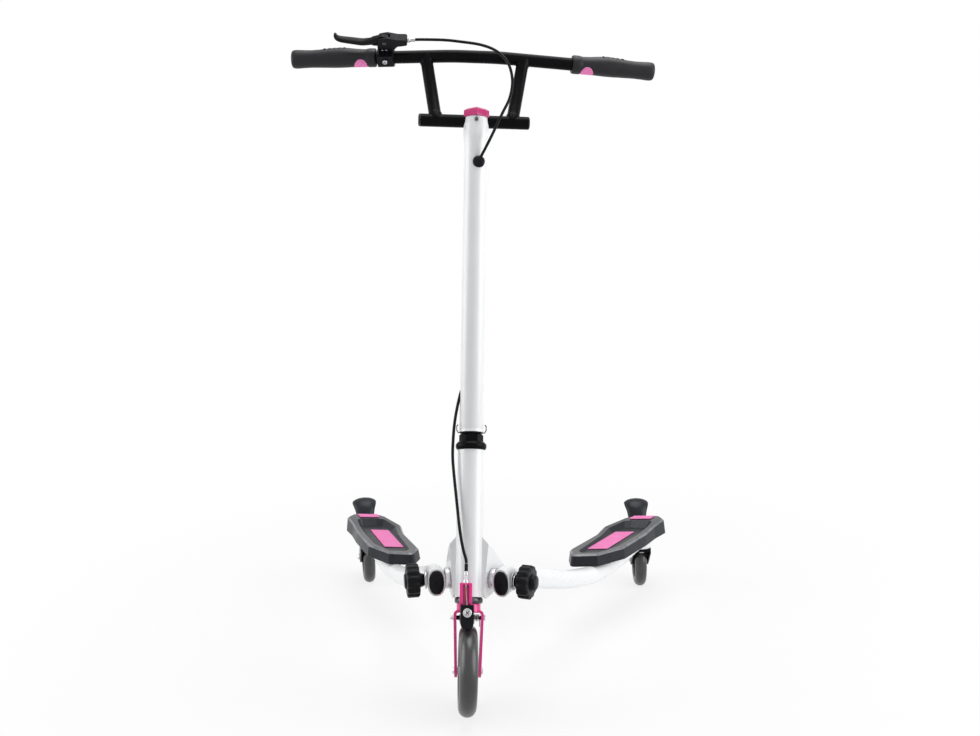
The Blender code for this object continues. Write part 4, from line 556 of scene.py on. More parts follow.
def make_fork():
    """Pink fork with round feet, its neck and the tab under the cable bracket, and the steerer."""
    strip = prism(fork_outline(), "Y", -0.013, 0.013)
    feet = [e for e in strip.edges if all(abs(v.co.z + FORK_DROP) < 1e-5 for v in e.verts)
            and abs(e.verts[0].co.x - e.verts[1].co.x) > 0.001]
    bmesh.ops.bevel(strip, geom=feet, offset=0.0105, segments=8, profile=0.5, affect="EDGES", material=-1)
    low, top = FORK_NECK_LOW, FORK_NECK_TOP
    neck = turned(((STEERER_BORE, low), (0.0195, low), (0.0195, top - 0.0004), (0.0191, top),
                   (STEERER_BORE, top)), closed=True)
    tab = box((CHANNEL_LEFT, -0.0277, low), (CHANNEL_RIGHT, -0.009, 0.0952))
    on_steer("fork_blades", merge(strip, neck, tab), "pink_paint", "fork", bevel=0.0006)
    tube = turned(((STEERER_BORE, top), (0.015, top), (0.015, 0.43), (STEERER_BORE, 0.43)), 40, True)
    on_steer("steerer_tube", tube, "dark_steel", "fork")


def make_cable_bracket():
    """Pink channel on the crown, with its lid, the barrel adjuster and the housing's black ferrule."""
    left, right, rear, front, sheet = CHANNEL_LEFT, CHANNEL_RIGHT, -0.0255, -0.0405, 0.0022
    foot, top, wall = 0.105, 0.138, 0.0047
    section = ((left, rear), (left, front), (left + wall, front), (left + wall, rear - sheet),
               (right - wall, rear - sheet), (right - wall, front), (right, front), (right, rear))
    strap = box((left, rear - sheet, 0.0955), (right, rear, foot))
    lid = box((left + wall, front + 0.002, top - 0.003), (right - wall, rear - sheet, top - 0.0005))
    channel = merge(prism(section, "Z", foot, top), strap, lid)
    on_steer("cable_channel", channel, "pink_paint", "brake_cable_bracket", bevel=0.0005)
    spot = (-0.006, -0.03405, 0)
    bore, seat = 0.0014, top + TOUCH
    barrel = turned(((bore, 0.156), (0.0031, 0.156), (0.0034, 0.1556), (0.0034, 0.15), (0.0028, 0.1494),
                     (0.0028, seat + 0.0046), (0.0042, seat + 0.0042), (0.0046, seat + 0.0036),
                     (0.0046, seat), (0.0021, seat), (0.0021, top - 0.006), (bore, top - 0.006)), 32, True)
    on_steer("lower_barrel", moved(barrel, spot), "steel", "lower_cable_adjuster")
    ferrule = turned(((bore, 0.1563), (0.0025, 0.1563), (0.0028, 0.1568), (0.0028, 0.166), (0.0026, 0.168),
                      (0.0026, 0.1684), (bore, 0.1684)), 32, True)
    on_steer("housing_ferrule", moved(ferrule, spot), "black_plastic", "lower_cable_adjuster")


# Height, half width, front and rear of the block's sections, from its top down to the tongue
BRAKE_BLOCK = (
    (0.1036, BRAKE_HALF, -0.046, -0.0295), (0.0905, BRAKE_HALF, -0.046, -0.0295),
    (0.0785, BRAKE_HALF, -0.046, -0.025), (0.0772, BRAKE_HALF, -0.0465, -0.0245),
    (0.0735, 0.0102, -0.0474, -0.024), (0.07, 0.009, -0.0482, -0.025),
    (0.068, 0.0078, -0.0486, -0.029), (0.0668, 0.0064, -0.0488, -0.034),
)


def make_brake_arm():
    """Black block over the tyre that tapers to a tongue, with a tail back over the pin to the pad."""
    rings = []
    for z, half, front, rear in BRAKE_BLOCK:
        left, right = BRAKE_X - half, BRAKE_X + half
        corners = ((left, front), (right, front), (right, rear), (left, rear))
        rings.append(level(fillet(corners, 0.0016, 4), z))
    tail = fillet(((-0.03, 0.079), (-0.03, 0.088), (0.024, 0.088), (0.026, 0.0768), (0.0, 0.0768),
                   (-0.01, 0.0762), (-0.022, 0.074)), 0.0012)
    arm = merge(skin(rings), prism(tail, "X", BRAKE_LEFT, BRAKE_RIGHT))
    place("brake_caliper_arm", arm, STEER, "brake_arm", "black_plastic", "brake_arm", bevel=0.0006)
    bolt = turned(((0, 0.0062), (0.0028, 0.0062), (0.004, 0.006), (0.0046, 0.0054), (0.005, 0.0046),
                   (0.005, 0.0013), (0.0066, 0.0011), (0.007, 0.0008), (0.007, TOUCH), (0, TOUCH)), 40)
    spot = Vector((BRAKE_X, -0.046, 0.0915))
    place("wire_clamp_bolt", moved(along_front(bolt), spot), STEER, "brake_arm", "steel", "cable_anchor_bolt")
    # The cross slot in the bolt's head is a thin dark cross laid on its face: painted shade for the recess.
    cross = merge(box((-0.0034, -0.0003, -0.0007), (0.0034, 0.0003, 0.0007)),
                  box((-0.0007, -0.0004, -0.0034), (0.0007, 0.0002, 0.0034)))
    cross = moved(rotated(cross, radians(40), "Y"), spot - Vector((0, 0.0063, 0)))
    place("wire_clamp_slot_painted_shade", cross, STEER, "brake_arm", "dark_steel")


def make_brake_pivot():
    """Pin across the fork, with black sleeves beside the block, a small head and a nut."""
    pivot = (0, -0.004, 0.083)
    inside, step = 0.02, 0.0186
    sleeves = [disc(0.0036, -inside, BRAKE_LEFT - TOUCH, 28), disc(0.0032, step, inside, 28),
               disc(0.0026, BRAKE_RIGHT + TOUCH, step, 24)]
    on_steer("pivot_sleeves", moved(along_x(merge(*sleeves)), pivot), "black_plastic", "brake_pivot_bolt")
    outside = 0.0243
    head = turned(((0, -0.0298), (0.002, -0.0298), (0.0026, -0.0292), (0.0026, -0.0264), (0.0038, -0.0262),
                   (0.004, -0.0258), (0.004, -outside), (0, -outside)), 32)
    nut = turned(((0, outside), (0.0042, outside), (0.0042, 0.0266), (0.0036, 0.0272), (0, 0.0272)), 6)
    on_steer("pivot_bolt", moved(along_x(merge(head, nut)), pivot), "steel", "brake_pivot_bolt")


def make_front_axle():
    """Low round heads outside the blades' ends."""
    face = 0.0219
    head = ((0, face + 0.0026), (0.003, face + 0.0026), (0.005, face + 0.0018), (0.0058, face + 0.0008),
            (0.0058, face), (0, face))
    on_steer("axle_bolt", axle_bolt(head, face), "steel", "front_axle")


def tyre_outline(radius, width, rim):
    """Round tread that meets the rim on both sides."""
    tread = width / 2
    centre = radius - tread
    inner = rim + TOUCH
    reach, steps = pi - 0.55, 28
    angles = [-reach + 2 * reach * k / steps for k in range(steps + 1)]
    points = [(max(centre + tread * cos(a), inner), tread * sin(a)) for a in reversed(angles)]
    edge = tread * 0.72
    return [(inner, edge)] + points + [(inner, -edge)]


def make_front_wheel():
    tyre = along_x(turned(tyre_outline(FRONT_RADIUS, 0.029, 0.047), 96, True))
    place("front_tread", tyre, STEER, "front_wheel", "tyre_rubber", "front_tyre")
    half = ((0.0113, 0.013), (0.014, 0.013), (0.0146, 0.0124), (0.0165, 0.0042), (0.018, 0.0036),
            (0.0405, 0.0036), (0.0418, 0.0044), (0.043, 0.0096), (0.0436, 0.0102), (0.0466, 0.0102),
            (0.047, 0.0098))
    core = along_x(turned(both_ways(half), 96, True))
    place("front_core", core, STEER, "front_wheel", "black_plastic", "front_wheel_core")


# Handlebar

def arm_frame(side):
    """X points outward along the bar from its bend, Z up."""
    out = Vector((side * cos(BAR_SWEEP), sin(BAR_SWEEP), 0))
    basis = Matrix((out, UP.cross(out), UP)).transposed().to_4x4()
    return BAR @ Matrix.Translation((side * BAR_BEND_HALF, 0, BAR_RISE)) @ basis


def bar_line():
    """The upper bar's middle line: straight, then a soft bend to the swept ends."""
    tip, bend = BAR_HALF - 0.004, 0.02
    half = [(0.0, 0.0), (BAR_BEND_HALF - bend, 0.0)]
    for k in range(1, 9):
        along = 2 * bend * k / 8
        half.append((BAR_BEND_HALF - bend + along, along ** 2 / (4 * bend) * tan(BAR_SWEEP)))
    half.append((tip, (tip - BAR_BEND_HALF) * tan(BAR_SWEEP)))
    right = [Vector((x, y, BAR_RISE)) for x, y in half]
    return [Vector((-p.x, p.y, p.z)) for p in reversed(right[1:])] + right


def make_handlebar():
    """Welded frame of the upper bar, the crossbar and two posts that widen at their welds, and the plugs."""
    cross = along_x(disc(BAR_RADIUS, -CROSSBAR_HALF, CROSSBAR_HALF, 48))
    parts = [pipe(bar_line(), BAR_RADIUS, 40), cross]
    for side in SIDES:
        low = Vector((side * 0.066, 0, 0))
        high = Vector((side * 0.086, 0.046 * tan(BAR_SWEEP), BAR_RISE))
        way = (high - low).normalized()
        steps = (0, 0.0115, 0.0135, 0.016)
        spots = [low + way * step for step in steps] + [high - way * step for step in reversed(steps)]
        sizes = [0.0124, 0.0124, 0.0115, 0.0109, 0.0109, 0.0115, 0.0124, 0.0124]
        parts.append(pipe(spots, sizes, 40))
    place("handlebar_tubes", merge(*parts), BAR, "steering", "black_paint", "handlebar")
    for side in SIDES:
        cap = turned(((0, 0.0034), (BAR_RADIUS - 0.0034, 0.0032), (BAR_RADIUS - 0.0012, 0.0024),
                      (BAR_RADIUS, 0.001), (BAR_RADIUS, TOUCH), (0, TOUCH)), 40)
        if side < 0:
            rotated(cap, pi, "X")
        on_side(side, "bar_plug", moved(along_x(cap), (side * CROSSBAR_HALF, 0, 0)), BAR, "steering",
                "black_plastic", "crossbar_cap")


# Place along the grip, radius and lift of its sections
GRIP_RADII = (
    (0.0, 0.015, 0.0), (0.0008, 0.0158, 0.0), (0.003, 0.0163, 0.0), (0.012, 0.0163, 0.0),
    (0.0145, 0.0158, 0.0), (0.0165, 0.0151, 0.0), (0.022, 0.0151, 0.0), (0.033, 0.0156, 0.0003),
    (0.048, 0.0168, 0.001), (0.062, 0.0175, 0.0014), (0.074, 0.0173, 0.0012), (0.088, 0.0165, 0.0008),
    (0.102, 0.0156, 0.0002), (0.115, 0.0152, 0.0), (0.128, 0.0156, 0.0), (0.139, 0.0162, 0.0),
    (0.1445, 0.0161, 0.0), (0.1478, 0.0152, 0.0), (0.1494, 0.0136, 0.0), (0.15, 0.0118, 0.0),
)
GRIP_START = ARM_END - GRIP_LENGTH


def make_grips():
    for side in SIDES:
        rings = [oval(Vector((GRIP_START + along, 0, lift)), Vector((0, 1, 0)), UP, radius, radius, 48, 1.0)
                 for along, radius, lift in GRIP_RADII]
        on_side(side, "grip_sleeve", skin(rings), arm_frame(side), "steering", "grip_rubber", "grip")


def make_grip_inlay(side):
    """Round pink patch that follows the grip's skin, on its underside and a little forward."""
    size, steps = 0.0126, 7
    bm = turned([(size * k / steps, 0.0) for k in range(steps + 1)])
    tilt = radians(97) if side < 0 else radians(83)
    skin_radius, stretch, proud, sunk, edge = 0.0155, 1.3, 0.0004, -0.0006, 0.012
    for vert in bm.verts:
        a = stretch * vert.co.y / skin_radius - tilt
        r = skin_radius + (proud if vert.co.xy.length < edge else sunk)
        vert.co = Vector((GRIP_START + 0.027 + vert.co.x, r * cos(a), r * sin(a)))
    on_side(side, "grip_patch", bm, arm_frame(side), "steering", "pink_rubber", "grip_inlay")


def make_grip_bars(side):
    """Row of small raised bars across the back of each grip."""
    bars = []
    for k in range(5):
        bar = moved(box((-0.0016, -0.0045, -0.0006), (0.0016, 0.0045, 0.0006)), (0, 0, 0.0172 - 0.0003 * k))
        rotated(bar, side * radians(38), "X")
        bars.append(moved(bar, (GRIP_START + 0.056 + 0.0088 * k, 0, 0.0012)))
    on_side(side, "grip_bars", merge(*bars), arm_frame(side), "steering", "black_plastic", bevel=0.0004)


# Brake lever and cable, in a frame on the bar whose Z points from the bar to the lever

KNUCKLE_HALF = 0.0036
PERCH_HALF = 0.0078
LEVER_PIVOT = (0.002, 0, 0.04)
BARREL_HEIGHT = 0.041
BARREL_END = 0.0416
PERCH_NOSE = (
    (0.026, 0.048), (BARREL_END, BARREL_HEIGHT + 0.0062), (BARREL_END, BARREL_HEIGHT - 0.0062),
    (0.024, 0.0325), (0.016, 0.024), (0.013, 0.0125),
)
PERCH_PROFILE = ((-0.01, 0.0125), (-0.011, 0.033), (-0.007, 0.05), (0.008, 0.053), *PERCH_NOSE)
PERCH_CORE = (
    (-0.01, 0.0125), (-0.0105, 0.024), (0.004, 0.027), (0.014, 0.029), (0.0112, 0.0525), *PERCH_NOSE,
)


def lever_frame():
    along = Vector((cos(BAR_SWEEP), -sin(BAR_SWEEP), 0))
    front = Vector((-sin(BAR_SWEEP), -cos(BAR_SWEEP), 0))
    out = front * cos(LEVER_RISE) + Vector((0, 0, sin(LEVER_RISE)))
    basis = Matrix((along, out.cross(along), out)).transposed().to_4x4()
    spot = Vector((-LEVER_X, (LEVER_X - BAR_BEND_HALF) * tan(BAR_SWEEP), BAR_RISE))
    return BAR @ Matrix.Translation(spot) @ basis


def make_perch():
    """Clamp band with its square front and the forked housing of the lever."""
    band = along_x(turned(((0.0114, -0.0145), (0.0156, -0.0145), (0.016, -0.0141), (0.016, 0.0141),
                           (0.0156, 0.0145), (0.0114, 0.0145)), closed=True))
    block = box((-0.0135, -0.0185, -0.0045), (0.0135, -0.007, 0.0205))
    walls = [prism(fillet(PERCH_PROFILE, 0.004), "Y", low, high)
             for low, high in ((KNUCKLE_HALF + TOUCH, PERCH_HALF), (-PERCH_HALF, -KNUCKLE_HALF - TOUCH))]
    core = prism(fillet(PERCH_CORE, 0.003), "Y", -KNUCKLE_HALF - 2 * TOUCH, KNUCKLE_HALF + 2 * TOUCH)
    place("lever_clamp", merge(band, block, core, *walls), lever_frame(), "steering", "black_plastic",
          "lever_perch", bevel=0.0009)


def make_perch_screws():
    """Clamp screw with its round socket, two small screws, the lever's pin and the barrel adjuster."""
    matrix, half = lever_frame(), PERCH_HALF
    screw = turned(((0, 0.0012), (0.0022, 0.0012), (0.0025, 0.0016), (0.0025, 0.003), (0.003, 0.0034),
                    (0.004, 0.0032), (0.0045, 0.0024), (0.0045, TOUCH), (0, TOUCH)), 36)
    place("clamp_screw", moved(along_front(screw), (0, -0.0185, 0.009)), matrix, "steering", "steel",
          "perch_clamp_bolt")
    small = ((0, 0.0008), (0.001, 0.0008), (0.0018, 0.0006), (0.002, 0.0002), (0.002, -0.0004), (0, -0.0004))
    pair = [moved(along_front(turned(small, 24)), (x, -half, 0.0245)) for x in (-0.0034, 0.0034)]
    place("reach_screws", merge(*pair), matrix, "steering", "steel")
    pin = turned(((0, half + 0.0012), (0.003, half + 0.0012), (0.0036, half + 0.0008), (0.0038, half + TOUCH),
                  (0.0024, half + TOUCH), (0.0024, -half - 0.0006), (0.002, -half - 0.001),
                  (0, -half - 0.001)), 32)
    place("lever_pin", moved(along_front(pin), LEVER_PIVOT), matrix, "steering", "dark_steel",
          "lever_pivot_pin")
    end, bore = BARREL_END + TOUCH, 0.0016
    barrel = turned(((bore, end), (0.0044, end), (0.0046, end + 0.0004), (0.0046, end + 0.004),
                     (0.0042, end + 0.0046), (0.0036, end + 0.0052), (0.0034, end + 0.006),
                     (0.0034, end + 0.0116), (0.0031, end + 0.0132), (0.0027, end + 0.0135),
                     (bore, end + 0.0135)), 32, True)
    place("lever_barrel", moved(along_x(barrel), (0, 0, BARREL_HEIGHT)), matrix, "steering", "steel",
          "lever_cable_adjuster")


# Place along the lever, height, half thickness and half width of the blade's sections, knuckle to tip
LEVER_STATIONS = (
    (-0.012, 0.0015, 0.008, 0.0036), (-0.02, 0.0006, 0.0064, 0.0054), (-0.029, -0.0008, 0.0046, 0.0068),
    (-0.04, -0.0012, 0.004, 0.0074), (-0.056, 0.002, 0.0038, 0.0072), (-0.0705, 0.005, 0.0037, 0.0067),
    (-0.0775, 0.007, 0.0037, 0.0062), (-0.0818, 0.0098, 0.0035, 0.0056), (-0.0836, 0.0132, 0.0031, 0.0049),
    (-0.084, 0.0166, 0.0027, 0.0042), (-0.084, 0.0192, 0.0016, 0.0028),
)


def make_lever():
    """Finger lever with its knuckle in the fork and the small hook at its tip."""
    knuckle = fillet(((0.0085, -0.006), (0.0088, 0.0116), (-0.004, 0.0128), (-0.02, 0.008), (-0.026, 0.004),
                      (-0.026, -0.0045), (-0.02, -0.0078), (-0.005, -0.0095)), 0.004)
    path = smooth_path(LEVER_STATIONS, 6)
    rings = []
    for i, (x, z, thick, wide) in enumerate(path):
        before, after = neighbours(path, i)
        way = Vector((after[0] - before[0], 0, after[1] - before[1])).normalized()
        across = Vector((-way.z, 0, way.x))
        rings.append(oval(Vector((x, 0, z)), Vector((0, 1, 0)), across, wide, thick, 28, 0.75))
    blade = merge(prism(knuckle, "Y", -KNUCKLE_HALF, KNUCKLE_HALF), skin(rings))
    place("finger_lever", blade, lever_frame() @ Matrix.Translation(LEVER_PIVOT), "brake_lever",
          "black_plastic", "brake_lever", bevel=0.0005)


# The cable's route in the steering's frame: loop, stem, and down to the lower adjuster
CABLE_ROUTE = (
    (-0.06, -0.02, 1.0645), (-0.03, -0.022, 1.0615), (0.006, -0.026, 1.055), (0.0326, -0.031, 1.042),
    (0.0516, -0.035, 1.02), (0.0595, -0.0375, 0.9885), (0.0554, -0.039, 0.955), (0.0421, -0.0385, 0.9244),
    (0.0224, -0.0325, 0.8807), (0.006, -0.0215, 0.848), (0.001, -0.01, 0.828), (0.0, -0.002, 0.8),
    (0.0, 0.0, 0.76), (0.0, 0.0, 0.52), (-0.004, 0.0, 0.49), (-0.012, -0.001, 0.468),
    (-0.019, -0.002, 0.448), (-0.025, -0.003, 0.4194), (-0.0284, -0.0045, 0.394), (-0.03, -0.0065, 0.369),
    (-0.0304, -0.009, 0.344), (-0.0285, -0.012, 0.319), (-0.0229, -0.0185, 0.27), (-0.017, -0.025, 0.2215),
    (-0.0115, -0.0305, 0.192), (-0.0068, -0.03405, 0.1758), (-0.006, -0.03405, 0.1688),
)


def make_cable():
    """Brake cable: over the bar in a loop, in at the stem, out below it and down to the adjuster."""
    to_steer = STEER.inverted() @ lever_frame()
    start = to_steer @ Vector((BARREL_END + 0.0141, 0, BARREL_HEIGHT))
    lead = to_steer @ Vector((BARREL_END + 0.026, 0, BARREL_HEIGHT))
    route = smooth_path([start, lead, *CABLE_ROUTE], 8)
    piece = on_steer("brake_cable", pipe(route, 0.0025, 16), "black_plastic", "brake_cable_housing")
    seat = turned(((0, 0.0246), (0.005, 0.0244), (0.008, 0.0236), (0.0098, 0.0222), (0.0105, 0.0205),
                   (0.0105, 0.0185), (0.01, 0.015), (0, 0.015)), 44)
    on_steer("stem_grommet", moved(along_front(seat), (0.0048, 0, 0.846)), "black_plastic", "cable_grommet")


# Legs and footplates, shaped for the right side, with Y from the front axle

# Middle of each section of the leg, then its half width and half height
LEG_STATIONS = (
    (0.0645, 0.0875, 0.1975, 0.015, 0.0215),
    (0.077, 0.124, 0.185, 0.015, 0.0195),
    (0.099, 0.176, 0.166, 0.015, 0.0178),
    (0.128, 0.24, 0.141, 0.015, 0.0168),
    (0.16, 0.308, 0.119, 0.015, 0.0165),
    (0.195, 0.383, 0.1045, 0.015, 0.0165),
    (0.23, 0.456, 0.105, 0.015, 0.0165),
    (0.26, 0.515, 0.114, 0.015, 0.0165),
)


def leg_rings():
    """Sections of the bent oval tube, from its front face to the caster's housing."""
    stations = [(*LEG_FACE, LEG_HALF_WIDTH, 0.023), (*HINGE, LEG_HALF_WIDTH, 0.023), *LEG_STATIONS,
                (PIVOT.x, PIVOT.y, HOUSING_MIDDLE, 0.015, 0.0165)]
    path = smooth_path(stations, 8)
    rings = []
    for i, station in enumerate(path):
        before, after = neighbours(path, i)
        way = Vector(after[:3]) - Vector(before[:3])
        if i == 0:
            way = -LEG_AHEAD
        way.normalize()
        aside = way.cross(UP).normalized()
        rings.append(oval(Vector(station[:3]), aside, aside.cross(way), station[3], station[4], 40))
    return rings


def make_leg(side):
    """White leg with its caster housing and the domed plug in its front end."""
    tube = mirrored(skin(leg_rings()), side)
    on_side(side, "leg_skin", tube, RIDE, "leg", "white_paint", "leg_tube", bevel=0.0008)
    low, top, well = 0.0985, 0.1345, 0.1275
    housing = turned(((0, low), (0.0178, low), (0.0185, low + 0.0007), (0.0185, top - 0.0007), (0.0178, top),
                      (0.0112, top), (0.0108, top - 0.0004), (0.0108, well), (0, well)))
    on_side(side, "pivot_housing", moved(housing, (side * PIVOT.x, PIVOT.y, 0)), RIDE, "leg", "white_paint",
            "leg_tube")
    rings = []
    for depth, share in ((-0.002, 1.0), (0.0, 1.0), (0.0014, 0.985), (0.0026, 0.94), (0.0035, 0.85),
                         (0.0041, 0.7), (0.0044, 0.5), (0.0045, 0.28), (0.0045, 0.08)):
        rings.append(oval(LEG_FACE + LEG_AHEAD * depth, LEG_ASIDE, UP, 0.0122 * share, 0.0202 * share, 40))
    on_side(side, "tube_plug", mirrored(skin(rings), side), RIDE, "leg", "black_plastic", "leg_plug")


DECK_OUTLINE = (
    (0.15, 0.356), (0.197, 0.361), (0.246, 0.405), (0.288, 0.488), (0.306, 0.531), (0.326, 0.567),
    (0.317, 0.591), (0.266, 0.589), (0.247, 0.574), (0.206, 0.53), (0.191, 0.483), (0.145, 0.391),
)
DECK_RIM_INNER = (
    (0.166, 0.371), (0.2, 0.374), (0.236, 0.414), (0.275, 0.492), (0.291, 0.527), (0.301, 0.553),
    (0.297, 0.56), (0.262, 0.56), (0.246, 0.556), (0.216, 0.522), (0.201, 0.475), (0.162, 0.384),
)
DECK_FLOOR_OUTLINE = (
    (0.17, 0.377), (0.198, 0.379), (0.232, 0.417), (0.27, 0.494), (0.284, 0.52), (0.293, 0.54),
    (0.289, 0.546), (0.258, 0.546), (0.247, 0.541), (0.221, 0.512), (0.205, 0.473), (0.167, 0.388),
)
DECK_MIDDLE = (0.236, 0.475)
DECK_TOP = 0.147
DECK_BOTTOM = 0.1245
DECK_FLOOR = 0.1415
FRONT_PAD = ((0.215, 0.4085), (0.266, 0.5155), (0.229, 0.5135), (0.177, 0.4065))
REAR_PAD = ((0.298, 0.565), (0.308, 0.584), (0.266, 0.582), (0.256, 0.564))


def kicked(points, height):
    """Outline points at a height, lifted toward the rear where the plate kicks up."""
    start, reach, lift = 0.5, 0.075, 0.007
    result = []
    for p in points:
        t = max(0.0, min(1.0, (p[1] - start) / reach))
        result.append((p[0], p[1], height + lift * t * t * (3 - 2 * t)))
    return result


def make_footplate(side):
    """Dished footboard whose skirt flares out, from its underside over the rim to its floor."""
    outer = [Vector(p) for p in DECK_OUTLINE]
    corner, flare, slope = 0.009, 0.0028, 0.0035
    rings = [
        level(fillet(grow(outer, -0.0045), corner), DECK_FLOOR - 0.004),
        level(fillet(grow(outer, 0.0), corner), DECK_BOTTOM),
        level(fillet(grow(outer, flare), corner), DECK_BOTTOM),
        kicked(fillet(outer, corner), DECK_TOP - 0.003),
        kicked(fillet(grow(outer, -slope), corner), DECK_TOP),
        kicked(fillet(DECK_RIM_INNER, corner * 0.6), DECK_TOP - 0.0005),
        level(fillet(DECK_FLOOR_OUTLINE, corner * 0.5), DECK_FLOOR),
    ]
    board = on_side(side, "footboard", mirrored(skin(rings), side), RIDE, "leg", "slate_plastic", "footplate",
                    bevel=0.0007)
    paint_rim_sheen_and_highlight(board.data, Vector((side * DECK_MIDDLE[0], FRONT_AXLE_Y + DECK_MIDDLE[1])))


def paint_rim_sheen_and_highlight(mesh, middle):
    """Gives the flat rim a glossier finish whose lighter colour is painted sheen, and the sloping outer edge
    a pale colour that is a painted highlight.
    """
    mesh.materials.append(FINISHES["slate_rim_painted_sheen"])
    mesh.materials.append(FINISHES["slate_edge_painted_highlight"])
    for face in mesh.polygons:
        if face.normal.z <= 0.3 or face.center.z <= DECK_TOP - 0.0018:
            continue
        # Faces that look up take the lighter slate: painted sheen.
        if face.normal.z > 0.93:
            face.material_index = 1
        # Outward-sloping edge faces take the pale slate: a painted highlight.
        elif face.normal.xy.dot(face.center.xy - middle) > 0:
            face.material_index = 2


def make_pads(side):
    """Pink foam pads on the floor of the footboard and on its kicked-up heel."""
    pad = mirrored(prism(fillet(FRONT_PAD, 0.002), "Z", DECK_FLOOR + TOUCH, DECK_FLOOR + 0.0015), side)
    front = on_side(side, "front_pad", pad, RIDE, "leg", "pink_rubber", "foot_pad", bevel=0.0004)
    low = kicked(fillet(REAR_PAD, 0.002), DECK_TOP + TOUCH)
    high = [(x, y, z + 0.0012) for x, y, z in low]
    heel = on_side(side, "heel_pad", mirrored(skin([low, high]), side), RIDE, "leg", "pink_rubber",
                   bevel=0.0003)


def make_knob(side):
    """Fluted hand knob with its conical hub and cap; the left one is thicker and its cap lower."""
    start = HINGE_OUT + LEG_HALF_WIDTH + 0.0033
    face, radius, flutes = 0.008, 0.0275, 14
    wide, boss = (0.0215, 0.0032) if side < 0 else (0.0205, 0.0075)
    end, count = face + wide, flutes * 12
    edge = ((0, 0.004), (0.0005, 0.0022), (0.0014, 0.0009), (0.0026, 0.0))
    rings = []
    for low, round_off in [(face + z, b) for z, b in edge] + [(end - z, b) for z, b in reversed(edge)]:
        ring = []
        for k in range(count):
            a = 2 * pi * k / count
            ridge = max(0.0, cos(flutes * a)) ** 0.5 - max(0.0, -cos(flutes * a)) ** 0.5
            r = radius - round_off - 0.001 * (1 - ridge)
            ring.append((r * cos(a), r * sin(a), low))
        rings.append(ring)
    hub = turned(((0, 0), (0.009, 0), (0.0098, 0.0008), (0.013, face + 0.001), (0.015, end - 0.001),
                  (0.015, end + 0.0008), (0.0126, end + 0.0012), (0.0122, end + boss * 0.7),
                  (0.0114, end + boss * 0.88), (0.0098, end + boss * 0.98), (0, end + boss)))
    on_side(side, "hand_knob", moved(merge(skin(rings), hub), (0, 0, start)), hinge_frame(side), "knob",
            "black_plastic", "clamp_knob")


def make_hinge(side):
    """Washers between the knob and the leg, and the hinge stud with its shoulder."""
    outside, inside = HINGE_OUT + LEG_HALF_WIDTH, HINGE_OUT - LEG_HALF_WIDTH
    washer = turned(((0.0063, 0.0003), (0.015, 0.0003), (0.0154, 0.0006), (0.0154, 0.0017), (0.015, 0.002),
                     (0.01, 0.002), (0.0098, 0.003), (0.0063, 0.003)), closed=True)
    on_side(side, "knob_washer", moved(washer, (0, 0, outside)), hinge_frame(side), "frame", "steel")
    stud = turned(((0, 0.0262), (0.009, 0.0262), (0.0095, 0.0268), (0.0095, 0.0315), (0.006, 0.0315),
                   (0.006, 0.0358), (0.0163, 0.0358), (0.017, 0.0362), (0.0172, 0.037),
                   (0.0172, inside - 0.0012), (0.0168, inside - 0.0005), (0.016, inside - TOUCH),
                   (0.006, inside - TOUCH), (0.006, outside + 0.025), (0.005, outside + 0.026),
                   (0, outside + 0.026)))
    on_side(side, "stud", stud, hinge_frame(side), "frame", "steel", "hinge_stud")


# Casters, with the axle's middle at WHEEL_SPOT behind the pivot

WHEEL_SPOT = (0, CASTER_TRAIL, REAR_RADIUS)


def caster_frame(side):
    spot = Vector((side * PIVOT.x, FRONT_AXLE_Y + PIVOT.y, 0))
    return Matrix.Translation(spot) @ Matrix.Rotation(CASTER_REST[side], 4, "Z")


def make_rear_wheel(side):
    tyre = along_x(turned(tyre_outline(REAR_RADIUS, 0.024, 0.037), 80, True))
    on_side(side, "rear_tread", moved(tyre, WHEEL_SPOT), caster_frame(side), "rear_wheel", "tyre_rubber",
            "rear_tyre")
    half = ((0.0043, 0.0144), (0.0119, 0.0144), (0.0125, 0.0138), (0.014, 0.004), (0.015, 0.0034),
            (0.0318, 0.0034), (0.0328, 0.0042), (0.0338, 0.008), (0.0345, 0.0085), (0.0367, 0.0085),
            (0.037, 0.0081))
    hub = moved(along_x(turned(both_ways(half), 80, True)), WHEEL_SPOT)
    on_side(side, "rear_hub", hub, caster_frame(side), "rear_wheel", "black_plastic", "rear_wheel_core")


def make_caster_yoke(side):
    """Bent yoke under the housing, with both arms down to the axle and the axle's round heads."""
    low, top, inner, outer = 0.0932, 0.0982, 0.015, 0.018
    crown = prism(fillet(((-outer, -0.013), (-0.009, -0.019), (0.009, -0.019), (outer, -0.013),
                          (outer, 0.009), (-outer, 0.009)), 0.004), "Z", low, top)
    arm = fillet(((-0.012, top), (-0.012, low - 0.006), (0.044, 0.046), (0.062, 0.045), (0.066, 0.055),
                  (0.059, 0.066), (0.022, low + 0.001), (0.009, top)), 0.006)
    arms = [prism(arm, "X", *sorted((face * inner, face * outer))) for face in SIDES]
    on_side(side, "caster_yoke", merge(crown, *arms), caster_frame(side), "caster", "black_paint",
            "caster_fork", bevel=0.0006)
    face = outer + TOUCH
    head = ((0, face + 0.0034), (0.003, face + 0.0034), (0.005, face + 0.0026), (0.006, face + 0.0012),
            (0.0062, face), (0, face))
    on_side(side, "axle_bolt", moved(axle_bolt(head, face), WHEEL_SPOT), caster_frame(side), "caster",
            "steel", "caster_axle")


# Place behind the pivot, height, half width and half thickness of the heel panel's sections, upward
HEEL_PANEL = (
    (0.084, 0.106, 0.015, 0.003), (0.085, 0.118, 0.0175, 0.003), (0.088, 0.134, 0.0185, 0.0032),
    (0.095, 0.1475, 0.021, 0.0032), (0.106, 0.1575, 0.0245, 0.0034), (0.118, 0.162, 0.025, 0.0034),
    (0.128, 0.1605, 0.021, 0.0028), (0.133, 0.1575, 0.013, 0.0018),
)


